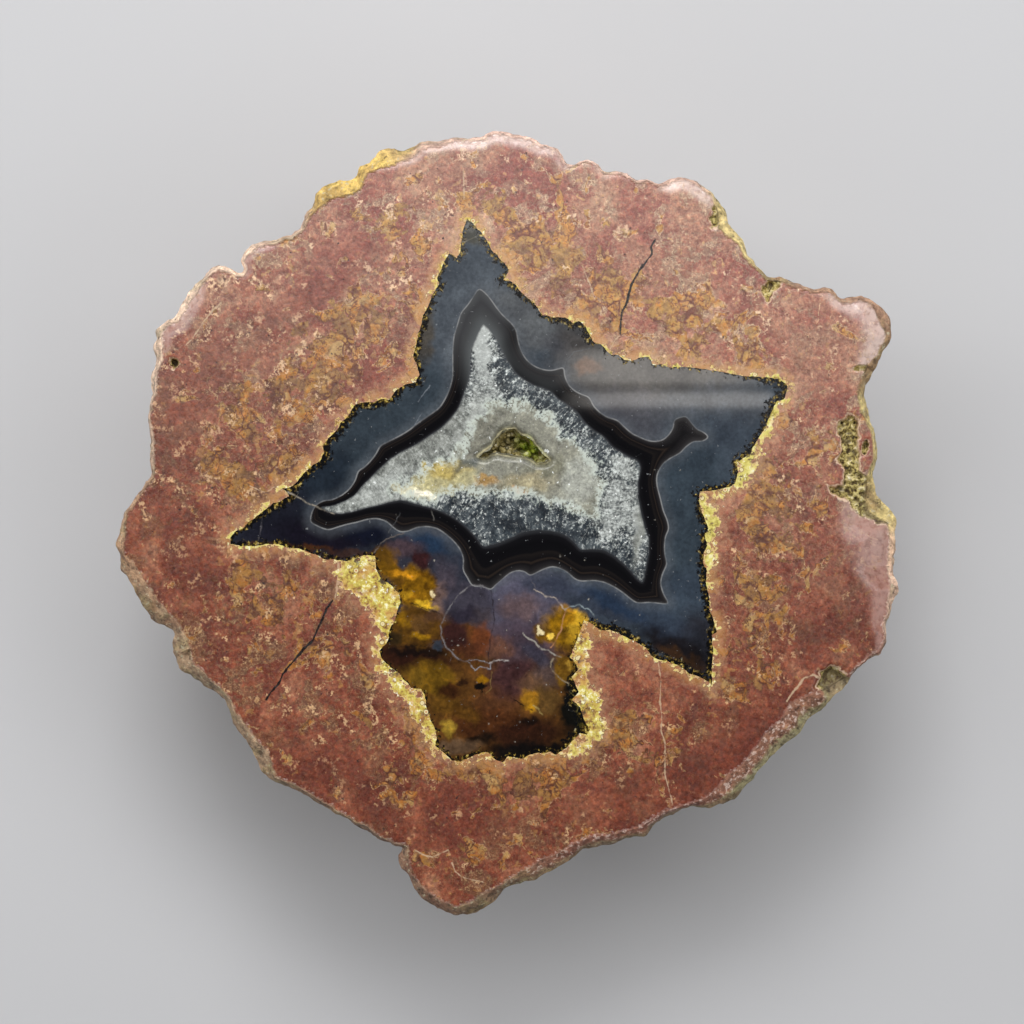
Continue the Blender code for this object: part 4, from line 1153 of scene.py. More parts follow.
# What tints the agate, from below to above: colour, cover, ellipse, softness.
AGATE_TINTS = (
    # the top arm and the upper right
    ((82, 88, 95), 0.9, ((470, 300), (60, 80), 0), 0.8),
    ((94, 96, 98), 0.8, ((520, 320), (44, 30), -20), 0.8),
    ((72, 72, 76), 0.7, ((566, 345), (20, 14), -20), 0.9),
    # warm grey where the strips are mirrored: partly the agate's own grey, partly a painted reflection of
    # them
    ((92, 88, 84), 0.9, ((650, 378), (90, 34), -5), 0.8),
    ((74, 74, 80), 0.8, ((640, 418), (60, 26), -10), 0.7),
    ((80, 84, 90), 0.8, ((715, 408), (60, 24), 0), 0.8),
    ((62, 70, 80), 0.9, ((720, 450), (60, 38), 0), 0.8),
    ((74, 68, 62), 0.5, ((580, 338), (26, 16), -30), 0.9),
    ((128, 98, 78), 0.6, ((588, 366), (13, 8), 0), 0.9),
    ((74, 62, 42), 0.6, ((424, 345), (9, 38), -8), 0.9),
    ((74, 70, 58), 0.7, ((472, 232), (12, 14), 20), 0.6),
    # the lower right arm and the left arm
    ((51, 61, 70), 0.9, ((690, 520), (40, 90), 0), 0.8),
    ((54, 64, 76), 0.9, ((690, 600), (40, 30), 0), 0.8),
    ((39, 40, 47), 1.0, ((698, 648), (30, 36), 0), 0.7),
    ((22, 19, 22), 1.0, ((676, 648), (40, 14), -30), 0.8),
    ((52, 34, 20), 0.9, ((680, 657), (24, 6), -25), 0.9),
    ((50, 60, 76), 0.6, ((640, 612), (50, 14), -25), 0.9),
    ((50, 59, 67), 0.9, ((380, 432), (75, 42), 40), 0.8),
    ((54, 63, 71), 0.7, ((430, 400), (30, 40), 30), 0.9),
    ((28, 36, 46), 0.9, ((318, 482), (40, 24), 40), 0.8),
    ((28, 29, 39), 1.0, ((265, 520), (45, 28), 25), 0.9),
    ((19, 16, 27), 1.0, ((330, 535), (60, 22), 0), 0.8),
    ((13, 17, 32), 0.9, ((368, 530), (26, 14), 0), 0.9),
    ((74, 42, 12), 0.7, ((290, 547), (46, 3.5), -4), 0.9),
    ((64, 36, 18), 0.6, ((350, 556), (36, 4), 4), 0.9),
    # the lobe: its broad body
    ((84, 54, 22), 1.0, ((480, 690), (118, 84), 0), 0.4),
    ((46, 23, 14), 1.0, ((412, 660), (42, 13), -8), 0.8),
    ((18, 10, 8), 0.9, ((418, 651), (30, 5), 0), 0.8),
    ((108, 80, 17), 0.9, ((434, 679), (24, 15), -20), 0.9),
    ((104, 78, 22), 0.9, ((414, 676), (12, 8), -20), 0.9),
    ((56, 27, 13), 0.9, ((450, 691), (12, 8), 0), 0.9),
    ((36, 18, 10), 0.9, ((462, 683), (5, 4), 0), 0.7),
    ((98, 68, 20), 0.8, ((446, 707), (22, 10), -20), 0.9),
    ((82, 50, 30), 0.9, ((498, 702), (22, 16), 0), 1.0),
    ((62, 38, 42), 0.9, ((514, 676), (24, 20), 0), 0.9),
    ((96, 70, 50), 0.8, ((534, 684), (16, 12), 0), 1.0),
    ((66, 56, 58), 0.8, ((550, 670), (16, 16), 0), 1.0),
    ((92, 68, 34), 0.8, ((546, 700), (16, 14), 0), 1.0),
    ((136, 96, 22), 0.9, ((529, 699), (10, 8), 0), 0.9),
    ((168, 122, 22), 0.9, ((533, 708), (5, 4), -30), 0.8),
    ((70, 38, 18), 0.9, ((487, 724), (42, 15), 0), 0.9),
    ((90, 60, 18), 0.8, ((468, 716), (16, 8), -15), 0.9),
    ((36, 16, 10), 0.9, ((527, 735), (40, 15), 10), 0.9),
    ((16, 8, 6), 0.9, ((530, 721), (8, 5), 0), 0.8),
    ((20, 13, 8), 0.9, ((482, 738), (14, 6), 10), 0.9),
    ((98, 76, 56), 0.9, ((456, 747), (22, 7), 4), 0.8),
    ((12, 8, 7), 1.0, ((530, 751), (46, 9), 0), 0.8),
    ((12, 11, 8), 1.0, ((574, 704), (11, 32), -6), 0.7),
    ((66, 60, 20), 0.8, ((579, 724), (4, 11), 0), 0.9),
    ((148, 120, 34), 0.9, ((584, 745), (12, 8), 0), 0.7),
    ((150, 124, 44), 0.8, ((447, 728), (6, 9), 20), 0.8),
    ((132, 92, 12), 1.0, ((483, 679), (7, 6), 0), 0.4),
    ((14, 8, 6), 1.0, ((483, 688), (7, 3), 0), 0.5),
    # beyond the circle, and under the dark band
    ((80, 78, 94), 1.0, ((520, 602), (46, 36), 0), 0.6),
    ((96, 78, 80), 0.9, ((521, 608), (22, 12), 0), 1.0),
    ((70, 58, 68), 0.9, ((522, 640), (38, 22), 0), 0.9),
    ((100, 66, 50), 0.8, ((501, 648), (11, 11), 0), 0.9),
    ((50, 50, 64), 0.8, ((536, 654), (18, 8), -35), 0.9),
    ((50, 56, 68), 1.0, ((592, 600), (46, 15), -22), 0.8),
    ((60, 65, 80), 0.9, ((556, 584), (34, 10), -6), 0.9),
    ((36, 50, 70), 0.9, ((612, 602), (36, 9), -28), 0.9),
    # the blob on the left, with its gold nodules
    ((46, 47, 58), 1.0, ((427, 567), (48, 40), 20), 0.6),
    ((30, 48, 70), 0.9, ((436, 543), (30, 9), -14), 0.9),
    ((44, 50, 62), 0.8, ((455, 562), (11, 26), 12), 0.9),
    ((76, 68, 78), 0.8, ((446, 586), (14, 22), 0), 1.0),
    ((116, 92, 82), 0.8, ((441, 604), (9, 16), 0), 1.0),
    ((72, 56, 62), 0.8, ((404, 548), (18, 8), 10), 1.0),
    ((98, 68, 18), 1.0, ((384, 557), (12, 11), 20), 0.7),
    ((54, 24, 24), 0.9, ((421, 559), (9, 8), 0), 0.9),
    ((122, 86, 12), 1.0, ((415, 587), (21, 20), 0), 0.4),
    ((106, 74, 12), 1.0, ((390, 571), (16, 9), -20), 0.6),
    ((188, 130, 26), 0.8, ((404, 574), (15, 3), -5), 0.9),
    ((66, 44, 12), 0.8, ((398, 583), (7, 4), 20), 0.9),
    ((214, 172, 44), 0.9, ((427, 604), (9, 4), -15), 0.8),
    ((196, 150, 34), 0.7, ((406, 594), (7, 4), 0), 0.9),
    ((252, 234, 184), 1.0, ((432, 594), (3, 3), 0), 0.6),
    # the olive nodule below it
    ((82, 55, 15), 1.0, ((416, 627), (26, 20), 0), 0.35),
    ((94, 66, 34), 0.8, ((418, 624), (12, 9), 20), 1.0),
    ((82, 56, 40), 0.8, ((432, 618), (9, 6), 0), 0.9),
    ((122, 88, 14), 0.9, ((402, 620), (6, 10), 20), 0.9),
    ((158, 116, 18), 0.9, ((422, 636), (9, 4), -10), 0.9),
    ((40, 30, 14), 0.9, ((393, 638), (8, 8), 0), 0.9),
    ((44, 54, 66), 0.9, ((438, 645), (6, 4), 0), 0.7),
    # the inner circle
    ((62, 59, 70), 1.0, ((468, 604), (25, 20), 0), 0.5),
    ((60, 52, 56), 0.8, ((480, 616), (12, 8), 0), 0.9),
    ((42, 38, 50), 0.9, ((462, 616), (15, 8), 10), 1.0),
    ((50, 26, 28), 0.9, ((456, 636), (13, 15), 0), 0.7),
    ((108, 58, 30), 0.9, ((480, 640), (11, 16), -10), 0.8),
    ((80, 44, 28), 0.8, ((470, 651), (14, 8), 0), 0.9),
    # gold on the right
    ((138, 100, 14), 1.0, ((563, 628), (18, 20), 10), 0.6),
    ((198, 156, 42), 0.9, ((578, 628), (9, 15), -15), 0.9),
    ((98, 70, 14), 0.8, ((566, 633), (5, 5), 0), 0.9),
    ((104, 74, 16), 1.0, ((543, 636), (12, 7), -30), 0.7),
    ((250, 234, 184), 1.0, ((538.6, 632), (3, 2.8), 0), 0.5),
    ((242, 204, 86), 1.0, ((547, 637), (2.6, 4), 20), 0.5),
    ((112, 80, 22), 1.0, ((564, 669), (11, 13), 0), 0.5),
    ((182, 142, 52), 0.9, ((567, 666), (3, 3), 0), 0.8),
)
# Thin lines in the agate: points, half width, and colour.
AGATE_LINES = (
    (((489, 590), (483, 586), (474, 585), (466, 588), (459, 595), (452, 604), (445, 615), (441, 626),
     (441, 636), (446, 647), (455, 656), (461, 660), (467, 662)), 0.5, (126, 122, 124)),
    (((491, 591), (493, 609), (494, 625), (490, 640), (489, 662)), 0.3, (38, 30, 34)),
    (((467, 661), (475, 670), (481, 666), (491, 669), (491, 663), (478, 660), (467, 661)), 0.4,
     (150, 150, 156)),
    (((490, 662), (498, 660), (509, 661)), 0.6, (184, 176, 172)),
    (((523, 633), (528, 638), (534, 641), (541, 649), (549, 651), (555, 655), (561, 657)), 0.7,
     (166, 160, 150)),
    (((534, 589), (541, 593), (547, 597), (554, 597), (560, 604), (566, 611)), 0.6, (186, 172, 158)),
    (((566, 611), (562, 622), (561, 630), (556, 640), (551, 647)), 0.5, (184, 132, 96)),
    (((566, 609), (571, 606), (580, 605), (589, 610), (594, 616)), 0.6, (142, 154, 158)),
    (((553, 658), (551, 662), (551, 667), (553, 672), (557, 676), (562, 680), (569, 684)), 0.6,
     (148, 134, 112)),
    (((511, 698), (517, 701), (524, 706), (532, 710)), 0.4, (14, 8, 8)),
    (((533, 706), (538, 709), (542, 715)), 0.7, (186, 164, 100)),
    (((492, 672), (491, 680), (491, 688), (486, 693)), 0.4, (130, 104, 60)),
    (((394, 646), (404, 647), (414, 646), (424, 646), (432, 644), (438, 639), (441, 634)), 0.3,
     (26, 18, 12)),
    (((404, 603), (411, 603), (419, 606), (426, 609), (436, 611), (443, 617)), 0.5, (40, 26, 14)),
    (((479, 234), (474, 238), (467, 241), (461, 242)), 0.4, (120, 116, 104)),
    (((262, 518), (261, 528), (258, 545)), 0.6, (84, 80, 84)),
    (((281, 491), (292, 494), (300, 498), (307, 503), (316, 506), (324, 510), (334, 513)), 0.7,
     (160, 150, 134)),
    (((430, 385), (424, 393), (418, 402)), 0.3, (130, 136, 144)),
    (((422, 413), (414, 425)), 0.3, (130, 136, 144)),
    (((400, 513), (394, 524), (388, 533)), 0.3, (90, 90, 92)),
    (((431, 511), (434, 520)), 0.4, (104, 100, 96)),
    (((512, 331), (522, 320), (530, 318), (540, 318)), 0.4, (86, 90, 92)),
    (((571, 693), (575, 697), (573, 702), (578, 707), (577, 712)), 0.4, (120, 112, 60)),
    # the edges of the round blobs, where the outer zone starts afresh
    (((564, 367), (566, 360), (574, 352), (590, 348)), 0.4, (92, 94, 98)),
    (((374, 553), (379, 546), (386, 539), (397, 535), (404, 533)), 0.5, (110, 100, 94)),
    (((530, 576), (533, 583), (536, 589)), 0.4, (90, 88, 96)),
)
# Motes and tiny bubbles that catch the light.
MOTES = (
    (452, 641), (463, 640), (458, 645), (453, 650), (446, 655), (499, 599), (507, 631), (617, 591),
    (505, 648), (546, 684), (561, 692), (489, 724), (520, 722), (450, 271), (655, 470), (440, 668),
    (474, 696), (515, 742), (497, 716), (543, 668), (404, 566), (412, 540), (435, 561), (530, 621),
    (588, 600), (640, 615), (690, 560), (700, 600), (655, 520), (500, 575), (560, 556), (585, 560),
    (470, 548), (396, 515), (352, 500), (680, 470),
)
MOTE_HALF = 0.5
MOTE_SHADE = (212, 204, 190)


def lining_outline():
    """Where quartz and agate meet, anticlockwise."""
    return roughened(smooth(refined(on_face(LINING)[::-1], 0.0004), 2), 0.00006, 0.0008, 8)


def agate():
    """The dark agate star, flush with the rock, with a pocket for the quartz."""
    star = star_outline()
    lining = lining_outline()
    drawn = [refined(on_face(points), LINE_STEP)[:-1] for points, _, _ in AGATE_LINES]
    beside = [line + normals(line) * shift for line in drawn for shift in (-LINE_SIDE, 0.0, LINE_SIDE)]
    flat, triangles, (outer, hole) = triangulated([star, lining[::-1]], AGATE_STEP, np.vstack(beside), 2)
    top = np.column_stack([flat, np.full(len(flat), FACE_Z)])
    walls = ((outer, loft_down(star, CORE_DEPTH, CORE_PROFILE)),
             (hole, loft_down(lining[::-1], CRUST_DEPTH, CRUST_PROFILE)))
    piece = closed_piece("agate_star", top, triangles, walls, AGATE_LAYOUT, agate_material())
    points = coordinates(piece)[:, :2]
    place = warped(points, 0.0010, 0.0022, 21)
    tint, cover = tinted(place, AGATE_TINTS)
    lobe = ease(depth_in(place, on_face(LOBE)) / UNIT, -3, 3)
    line_colour, line = agate_lines(points)
    paint(piece, tint=tint, cover=cover, lobe=lobe, line_colour=line_colour, line=line,
          rim=nearest(points, star, True)[0] * 1000,
          band=depth_in(points, smooth(refined(on_face(BAND)[::-1], 0.0006), 2)) * 1000,
          lining=nearest(points, lining, True)[0] * 1000,
          soot=laid(warped(points, 0.0016, 0.006, 22), SOOT),
          haze=laid(points, HAZE),
          cloudy=lobe * laid(place, CLOUDY, 0.2))
    return piece


def agate_lines(points):
    """The colour of the nearest thin line or mote at each point, and how much it shows."""
    shades = np.zeros((len(points), 3))
    shares = np.zeros(len(points))
    unsteady = warped(points, 0.00020, 0.0010, 24)
    motes = tuple(((mote, mote), MOTE_HALF, MOTE_SHADE) for mote in MOTES)
    for line, half, shade in AGATE_LINES + motes:
        gap = nearest(unsteady, on_face(line), False)[0] / UNIT
        share = ease(gap, half + 0.6, half * 0.5 - 0.2)
        shades = np.where(share[:, None] > shares[:, None], srgb(*shade), shades)
        shares = np.maximum(shares, share)
    return shades, shares


def agate_material():
    """Chalcedony: blue-grey outside, a thin pale line, a near-black banded zone, and amber in the lobe."""
    s = Shader("agate")
    rim, band, lining, lobe = map(s.number, ("rim", "band", "lining", "lobe"))
    tint = s.colour("tint")
    # outer zone, paler towards the line
    outer = s.mix(s.number("cover"), (54, 62, 71), tint)
    outer = s.mix(s.step(band, -2.6, 0.0) * 0.40, outer, (92, 97, 103))
    outer = s.mix(lobe, outer, tint)
    outer = s.lit(outer, s.noise(0.0045, 4, 0.56, 1.0, 0.4), (0.3, 0.66, 0.66, 0.68), (0.7, 1.36, 1.35, 1.32))
    outer = s.lit(outer, s.noise(0.0018, 4, 0.60, 6.0, 0.8), (0.34, 0.36, 0.30, 0.26),
                  (0.46, 0.86, 0.84, 0.82), (0.55, 1.16, 1.14, 1.08), (0.68, 2.0, 1.8, 1.5),
                  share=s.number("cloudy"))
    outer = s.lit(outer, s.noise(0.0007, 3, 0.62, 7.0), (0.30, 0.78, 0.78, 0.78), (0.70, 1.24, 1.24, 1.24))
    # sooty rim with yellow and grey specks
    fringe = s.noise(0.0010, 4, 0.68, 2.0, 0.5) - 0.5
    black = s.step(fringe * 6.5 + rim - s.number("soot") * 1.30, 0.20, -0.20)
    specks = s.noise(0.00070, 3, 0.60, 3.0)
    olive = s.ramp(specks, (0.49, 8, 7, 7), (0.55, 62, 48, 16), (0.62, 150, 126, 52), (0.68, 212, 190, 104))
    grey = s.ramp(specks, (0.54, 8, 8, 10), (0.60, 50, 48, 46), (0.68, 136, 130, 112))
    outer = s.mix(black * 0.96, outer, s.mix(s.step(rim, 1.5, 0.5), grey, olive))
    # the dark band with fine lines that follow it
    wavy = s.noise(0.01, 2, 0.5, 4.0) * 0.04 + band / (band + lining + 0.001)
    inner = s.ramp(wavy, (0.00, 62, 60, 60), (0.09, 36, 34, 35), (0.22, 17, 15, 17), (0.27, 42, 34, 29),
                   (0.31, 15, 13, 15), (0.45, 26, 22, 21), (0.50, 11, 10, 13), (0.72, 9, 8, 11),
                   (0.90, 16, 15, 18), (1.00, 44, 45, 48))
    hazy = s.ramp(wavy, (0.0, 80, 81, 82), (0.3, 62, 62, 64), (0.6, 70, 71, 72), (1.0, 88, 91, 92))
    inner = s.mix(s.number("haze"), inner, hazy)
    colour = s.mix(s.step(band, -0.02, 0.02), outer, inner)
    # dust in the polish, and the pale line, broken here and there
    dust = s.step(specks, 0.675, 0.71, 0.0, 0.55) * s.step(lobe, 1.0, 0.0, 0.4, 1.0)
    colour = s.mix(dust, colour, (150, 152, 154))
    pale = s.step(abs(band + 0.05), 0.19, 0.05) * s.step(s.noise(0.004, 4, 0.65, 5.0), 0.38, 0.58, 0.20, 0.85)
    colour = s.mix(pale, colour, (140, 140, 140))
    worn = s.step(s.noise(0.0016, 4, 0.65, 8.0), 0.40, 0.56, 0.20, 0.92)
    colour = s.mix(s.number("line") * worn, colour, s.colour("line_colour"))
    return s.finish(colour, black * 0.07 + 0.03, s.bump(fringe * (black * 0.10), 0.5, 0.0003))


# ---------------------------------------------------------------- the quartz lining
QUARTZ_STEP = 0.00022  # spacing of points on it
VUG_DEPTH = 0.0065
VUG_PROFILE = ((0.02, 1.0), (0.10, 0.99), (0.22, 0.96), (0.40, 0.88), (0.60, 0.78), (0.80, 0.64), (1.0, 0.40))
VUG_DIP = 0.0009  # how far the face dips at the pocket's edge
VUG_LIP = 0.0012  # how broad that dip is
VUG_LUMPS = (0.0018, 0.0005)  # size and height of the lumps on the pocket's sides
# Where its face, its outside and its pocket lie on the texture sheet.
QUARTZ_LAYOUT = (
    (0.01, 0.10, 0.89),
    ((0.01, 0.062, 0.90, 0.09), (0.95, 0.70, 0.03)),
    ((0.01, 0.005, 0.90, 0.058), (0.95, 0.85, 0.03)),
)
CRYSTALS = 60
CRYSTAL_WIDTH = 0.00040  # half width of a crystal in the pocket
CRYSTAL_REACH = 0.0011  # its length
CRYSTAL_NECK = 0.62  # where its point starts, as a share of the length
CRYSTAL_ROOT = 0.0006  # how deep it starts in the wall
CRYSTAL_SIDES = 6
WALL_GAP = 0.0003  # least distance from a crystal to the pocket's edge
MOSS = ((533, 444), (17, 13), -40, 1.0)  # where the pocket is mossy: a spot
# How milky the quartz is, from 0 (clear, dark) to 1, from below to above: value, cover, ellipse, softness.
MILK = (
    (0.42, 1.0, ((560, 440), (140, 40), -30), 0.5),
    (0.45, 1.0, ((430, 440), (80, 60), 40), 0.8),
    (0.8, 1.0, ((378, 490), (60, 22), 25), 0.9),
    (0.6, 1.0, ((330, 510), (24, 6), 0), 0.9),
    (0.3, 1.0, ((512, 385), (18, 46), 25), 0.9),
    (0.22, 1.0, ((560, 420), (44, 16), -38), 0.9),
    (0.3, 1.0, ((604, 452), (30, 12), -30), 0.9),
    (1.0, 1.0, ((484, 352), (11, 36), 6), 0.9),
    (0.74, 0.9, ((482, 392), (12, 30), 0), 0.9),
    (0.95, 0.8, ((472, 425), (9, 34), -32), 0.9),
    (0.12, 1.0, ((500, 520), (70, 20), 0), 0.8),
    (0.24, 1.0, ((560, 522), (40, 14), -10), 0.9),
    (0.12, 1.0, ((590, 545), (60, 16), -12), 0.8),
    (0.3, 1.0, ((438, 506), (36, 9), -10), 0.8),
    (0.78, 0.9, ((618, 508), (18, 44), -8), 0.9),
    (0.95, 0.9, ((641, 515), (7, 50), -8), 0.8),
    (0.26, 0.9, ((625, 558), (22, 20), 0), 0.9),
    (0.8, 0.9, ((622, 463), (18, 6), -30), 0.9),
)
# Where the quartz outside the crest is smooth and milky.
CALM = (
    (0.7, 1.0, ((410, 458), (90, 34), 38), 0.9),
    (0.4, 1.0, ((375, 490), (50, 18), 25), 0.9),
    (0.0, 1.0, ((484, 350), (16, 40), 6), 0.9),
    (0.75, 1.0, ((643, 515), (6, 46), -8), 0.9),
)
# What tints the quartz: colour, cover, ellipse, softness.
QUARTZ_TINTS = (
    ((139, 138, 125), 1.0, ((520, 450), (90, 60), 0), 0.8),
    ((122, 120, 108), 0.8, ((478, 438), (12, 28), -25), 1.0),
    ((118, 116, 96), 0.7, ((548, 468), (22, 10), 0), 1.0),
    ((176, 178, 168), 0.8, ((580, 480), (18, 26), -30), 0.9),
    ((160, 150, 120), 0.9, ((524, 482), (26, 9), 0), 0.9),
    ((190, 180, 132), 0.9, ((440, 476), (34, 16), 0), 0.9),
    ((232, 225, 190), 0.8, ((410, 492), (24, 7), -16), 0.4),
    ((250, 244, 222), 1.0, ((422, 495), (13, 5), -8), 0.2),
    ((196, 172, 92), 0.8, ((446, 468), (22, 7), 0), 1.0),
    ((186, 142, 72), 0.75, ((484, 480), (10, 4), 0), 1.0),
    ((172, 118, 54), 0.9, ((519, 492), (6, 5), 0), 0.8),
    ((84, 88, 86), 0.8, ((466, 463), (16, 6), 30), 0.8),
)


def quartz():
    """The sugary quartz lining with its open pocket."""
    lining = lining_outline()
    opening = roughened(refined(on_face(VUG)[::-1], 0.0003), 0.00018, 0.0012, 9)
    flat, triangles, (outer, hole) = triangulated([lining, opening[::-1]], QUARTZ_STEP, on_face([]), 3)
    dip = VUG_DIP * ease(nearest(flat, opening, True)[0], VUG_LIP, 0.0)
    size, height = VUG_LUMPS
    pocket = [ring + fractals(ring, size, 4, (11, 12, 13)) * height
              for ring in loft_down(opening[::-1], VUG_DEPTH, VUG_PROFILE)]
    top = np.column_stack([flat, FACE_Z - dip])
    walls = ((outer, loft_down(lining, CRUST_DEPTH, CRUST_PROFILE)), (hole, pocket))
    piece = closed_piece("quartz_lining", top, triangles, walls, QUARTZ_LAYOUT, quartz_material())
    points = coordinates(piece)
    place = points[:, :2]
    ragged = warped(place, 0.0014, 0.0030, 31)
    tint, cover = tinted(ragged, QUARTZ_TINTS)
    paint(piece, tint=tint, cover=cover,
          milk=laid(ragged, MILK, 0.45),
          calm=laid(ragged, CALM),
          crest=depth_in(warped(place, 0.0016, 0.0020, 33), on_face(CREST)[::-1]) * 1000,
          edge=depth_in(place, lining) * 1000,
          along=along_edge(place, smooth(refined(on_face(LINING)[::-1], 0.0006), 12)) * 1000,
          mouth=-depth_in(place, opening) * 1000,
          deep=ease(FACE_Z - points[:, 2], 0.0004, 0.0016),
          moss=spot(place, *MOSS))
    return piece


def crystal(place, gap, middle, width, rng):
    """The points of a small six-sided quartz point that leans out from the pocket's side."""
    depth = min(VUG_DEPTH * 0.9, 0.0012 + gap * 1.9)
    lean = Vector((*(middle - place) * 0.5 / width, 0.55)) + Vector(rng.uniform(-0.45, 0.45, 3))
    across = lean.orthogonal().normalized()
    beside = lean.cross(across).normalized()
    half = CRYSTAL_WIDTH * rng.uniform(0.6, 1.5)
    reach = lean.normalized() * CRYSTAL_REACH * rng.uniform(0.6, 1.2)
    foot = Vector((*place, FACE_Z - depth - CRYSTAL_ROOT))
    turns = 2 * math.pi * np.arange(CRYSTAL_SIDES) / CRYSTAL_SIDES
    rim = [(across * math.cos(turn) + beside * math.sin(turn)) * half for turn in turns]
    rings = [foot + reach * height + offset for height in (0.0, CRYSTAL_NECK) for offset in rim]
    return [*rings, foot + reach]


def crystals():
    """The small quartz points that stand on the pocket's sides and floor."""
    rng = np.random.default_rng(5)
    opening = on_face(VUG)[::-1]
    low, high = opening.min(axis=0), opening.max(axis=0)
    points, faces, moss = [], [], []
    while len(moss) < CRYSTALS:
        place = rng.uniform(low, high)
        gap = float(depth_in(place[None, :], opening)[0])
        if gap < WALL_GAP:
            continue
        foot = range(len(points), len(points) + CRYSTAL_SIDES)
        points += crystal(place, gap, opening.mean(axis=0), high[0] - low[0], rng)
        for number in foot:
            beyond = foot[(number - foot[0] + 1) % CRYSTAL_SIDES]
            neck, next_neck = number + CRYSTAL_SIDES, beyond + CRYSTAL_SIDES
            faces += [(number, beyond, next_neck, neck), (neck, next_neck, len(points) - 1)]
        faces.append(tuple(reversed(foot)))
        moss.append(float(spot(place[None, :], *MOSS)[0]))
    piece = meshed("pocket_crystals", points, faces, crystal_material())
    paint(piece, moss=np.repeat(moss, 2 * CRYSTAL_SIDES + 1))
    return piece


def quartz_material():
    """Quartz: milky to clear with white needles, cream and orange stains, and a mossy brown pocket."""
    s = Shader("quartz")
    milk, crest, edge, mouth = map(s.number, ("milk", "crest", "edge", "mouth"))
    stretched = s.node("ShaderNodeCombineXYZ", 0, {0: s.number("along"), 1: edge * 0.22})
    columns = s.noise(0.46, 3, 0.60, 3.0, 0.4, place=stretched)
    sugar = s.noise(0.00044, 3, 0.60, 1.0, 0.4)
    coarse = s.noise(0.0017, 4, 0.64, 2.0)
    level = sugar * 0.46 + columns * 0.36 + coarse * 0.18
    # outside the crest: needles of white on clear dark quartz
    salt = s.step(level + milk * 0.22 - 0.62, -0.09, 0.08)
    clear = s.ramp(coarse, (0.38, 34, 39, 45), (0.50, 54, 61, 67), (0.62, 86, 93, 97))
    white = s.ramp(level, (0.38, 110, 114, 110), (0.46, 138, 142, 138), (0.52, 164, 168, 164),
                   (0.60, 222, 227, 223))
    outside = s.mix(salt, clear, white)
    outside = s.mix(s.step(milk, 0.66, 0.95, 0.0, 0.55), outside, (198, 202, 198))
    calm = s.ramp(coarse, (0.36, 100, 102, 96), (0.50, 138, 140, 132), (0.64, 178, 180, 172))
    outside = s.mix(s.number("calm"), outside, calm)
    # inside the crest: greyer, warmer and smoother
    mild = sugar * 0.40 + coarse * 0.60
    centre = s.mix(s.number("cover"), (144, 143, 129), s.colour("tint"))
    grey = s.lit(centre, mild, (0.36, 0.50, 0.50, 0.50), (0.46, 0.86, 0.86, 0.86), (0.54, 1.14, 1.14, 1.13),
                 (0.64, 1.75, 1.75, 1.70))
    colour = s.mix(s.step(crest, -0.25, 0.25), outside, grey)
    halo = s.step(abs(crest - 0.25), 1.5, 0.1, 0.0, 0.85) * s.step(level, 0.43, 0.53)
    colour = s.mix(halo, colour, (204, 212, 202))
    # bright grains, and an outermost edge that fades into the agate
    colour = s.mix(s.step(s.noise(0.0010, 3, 0.6, 4.0), 0.63, 0.68, 0.0, 0.95), colour, (246, 249, 246))
    colour = s.mix(s.step(edge, 0.45, 0.0, 0.0, 0.75), colour, (54, 56, 60))
    # the pocket
    lip = s.step(abs(mouth - 0.12), 0.26, 0.05, 0.0, 0.75)
    colour = s.mix(lip, colour, (218, 212, 178))
    wall = s.ramp(mild, (0.38, 102, 88, 50), (0.47, 162, 148, 96), (0.55, 200, 190, 142),
                  (0.66, 232, 226, 190))
    moss = s.ramp(mild, (0.40, 66, 80, 12), (0.50, 132, 152, 28), (0.60, 178, 188, 56))
    wall = s.mix(s.number("moss") * s.step(coarse, 0.40, 0.54), wall, moss)
    colour = s.mix(s.number("deep"), colour, wall)
    return s.finish(colour, s.step(sugar, 0.4, 0.65, 0.08, 0.25), s.bump(level, 0.3, 0.0002))


def crystal_material():
    """Small brown and olive quartz points, mossy at the upper right."""
    s = Shader("pocket quartz")
    cloud = s.noise(0.0012, 4, 0.62, 1.0)
    brown = s.ramp(cloud, (0.36, 100, 88, 52), (0.48, 152, 138, 88), (0.58, 186, 174, 126),
                   (0.68, 226, 218, 180))
    moss = s.ramp(cloud, (0.38, 76, 96, 12), (0.50, 140, 160, 30), (0.62, 186, 192, 66))
    colour = s.mix(s.number("moss") * 0.9, brown, moss)
    return s.finish(colour, s.step(cloud, 0.3, 0.7, 0.12, 0.35), s.bump(s.noise(0.0004, 3, 0.6), 0.3, 0.0001))


# ---------------------------------------------------------------- floor, camera and light
FLOOR_HALF = 3.0
FLOOR_SHADE = (206, 206, 208)
SENSOR = 36.0  # the camera's sensor width in millimetres
SKY_TONE = (0.92, 0.96, 1.0)
SKY_STRENGTH = 0.06
# Soft lamps that face the stone: name, place, size and power.
LAMPS = (
    ("key", (-0.1, 0.8, 1.1), (0.5, 0.5), 6.0),
    ("fill", (0.8, -0.2, 0.9), (0.8, 0.8), 2.8),
    ("far_fill", (-0.8, -0.5, 0.9), (1.0, 1.0), 2.0),
    ("back_light", (0.3, 1.3, 0.40), (1.4, 0.3), 5.0),
    ("left_light", (-1.2, 0.5, 0.40), (0.3, 1.2), 5.0),
)
WINDOW = ((-0.6, 0.11), (0.6, 0.50))  # corners of the soft light over the far side
WINDOW_POWER = 4.2
# Strips that the face mirrors: name, two corners on the sheet, and brightness.
STRIPS = (
    ("strip", (562, 393), (772, 407), 3.4),
    ("broad_strip", (556, 350), (772, 383), 2.6),
)
STRIP_TONE = (1.0, 0.96, 0.91)
FADE_STEPS = 4  # lamps that a strip fades over at its left end
FADE_STEP = 9  # width of each on the sheet


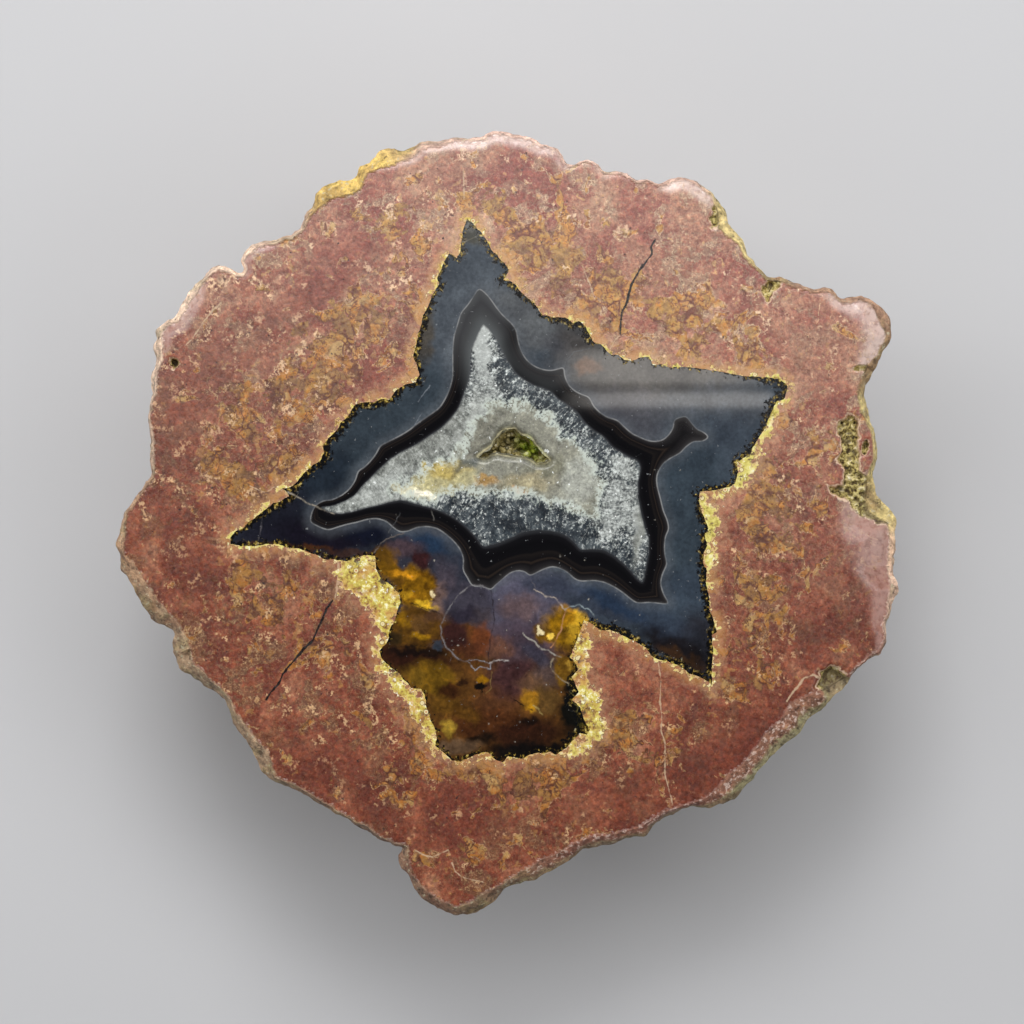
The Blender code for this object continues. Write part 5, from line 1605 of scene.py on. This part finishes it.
def floor():
    """A plain pale floor under the stone."""
    s = Shader("floor")
    material = s.finish(FLOOR_SHADE, 0.8, s.bump(s.noise(0.002, 2), 0.02, 0.0002))
    corners = [(x * FLOOR_HALF, y * FLOOR_HALF, 0) for x, y in ((-1, -1), (1, -1), (1, 1), (-1, 1))]
    meshed("floor", corners, [(0, 1, 2, 3)], material)


def camera():
    """Straight down on the polished face, which fills the frame as the sheet does."""
    data = bpy.data.cameras.new("camera")
    data.sensor_width = SENSOR
    data.lens = SENSOR * CAMERA_DISTANCE / (SHEET_SIDE * UNIT)
    piece = placed("camera", data)
    piece.location = (*eye(), FACE_Z + CAMERA_DISTANCE)
    bpy.context.scene.camera = piece


def eye():
    """The place that the camera is over."""
    return on_face((SHEET_SIDE / 2, SHEET_SIDE / 2))[0]


def lamp(name, place, aim, size, power, tone=(1.0, 1.0, 1.0)):
    """A rectangular soft light that faces a point."""
    data = bpy.data.lights.new(name, 'AREA')
    data.shape = 'RECTANGLE'
    data.size, data.size_y = size
    data.energy = power
    data.color = tone
    piece = placed(name, data)
    piece.location = place
    piece.rotation_euler = (Vector(aim) - Vector(place)).to_track_quat('-Z', 'Y').to_euler()
    piece.visible_camera = False


def overhead(name, low, high, power, tone=(1.0, 1.0, 1.0)):
    """A lamp level with the camera that faces straight down, between two corners."""
    x, y = np.add(low, high) / 2
    place = (x, y, FACE_Z + CAMERA_DISTANCE)
    lamp(name, place, (x, y, 0.0), np.abs(np.subtract(high, low)), power, tone)


def glint(name, low, high, brightness):
    """A lamp placed so that the camera sees it mirrored in the face between two corners on the sheet."""
    low, high = 2 * on_face((low, high)) - eye()
    power = brightness * math.pi * np.prod(np.abs(high - low))
    overhead(name, low, high, power, STRIP_TONE)


def fading_glint(name, low, high, brightness):
    """A mirrored lamp that fades out in steps at its left end."""
    for number in range(FADE_STEPS):
        left = low[0] + number * FADE_STEP
        share = (number + 1) / (FADE_STEPS + 1)
        glint(f"{name}_{number}", (left, low[1]), (left + FADE_STEP, high[1]), brightness * share)
    glint(name, (low[0] + FADE_STEPS * FADE_STEP, low[1]), high, brightness)


def world():
    """Even light from all round."""
    sky = bpy.data.worlds.new("studio")
    sky.use_nodes = True
    shade = sky.node_tree.nodes["Background"]
    shade.inputs["Color"].default_value = (*SKY_TONE, 1.0)
    shade.inputs["Strength"].default_value = SKY_STRENGTH
    bpy.context.scene.world = sky


def studio():
    """Soft light all round, the lamps, the window and the strips that the face mirrors."""
    world()
    for name, place, size, power in LAMPS:
        lamp(name, place, (0.0, 0.0, FACE_Z), size, power)
    overhead("window", *WINDOW, WINDOW_POWER)
    for strip_lamp in STRIPS:
        fading_glint(*strip_lamp)


def main():
    """The stone's pieces, each in place of its solid in the part, and the studio round them."""
    bpy.context.scene.view_settings.view_transform = 'Standard'
    for piece, node in ((rock(), "rhyolite_shell"), (agate(), "agate_core"), (quartz(), "quartz_crust")):
        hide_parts(node)
        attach(piece, "root")
    points = crystals()
    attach(points, "root")
    floor()
    camera()
    studio()


main()
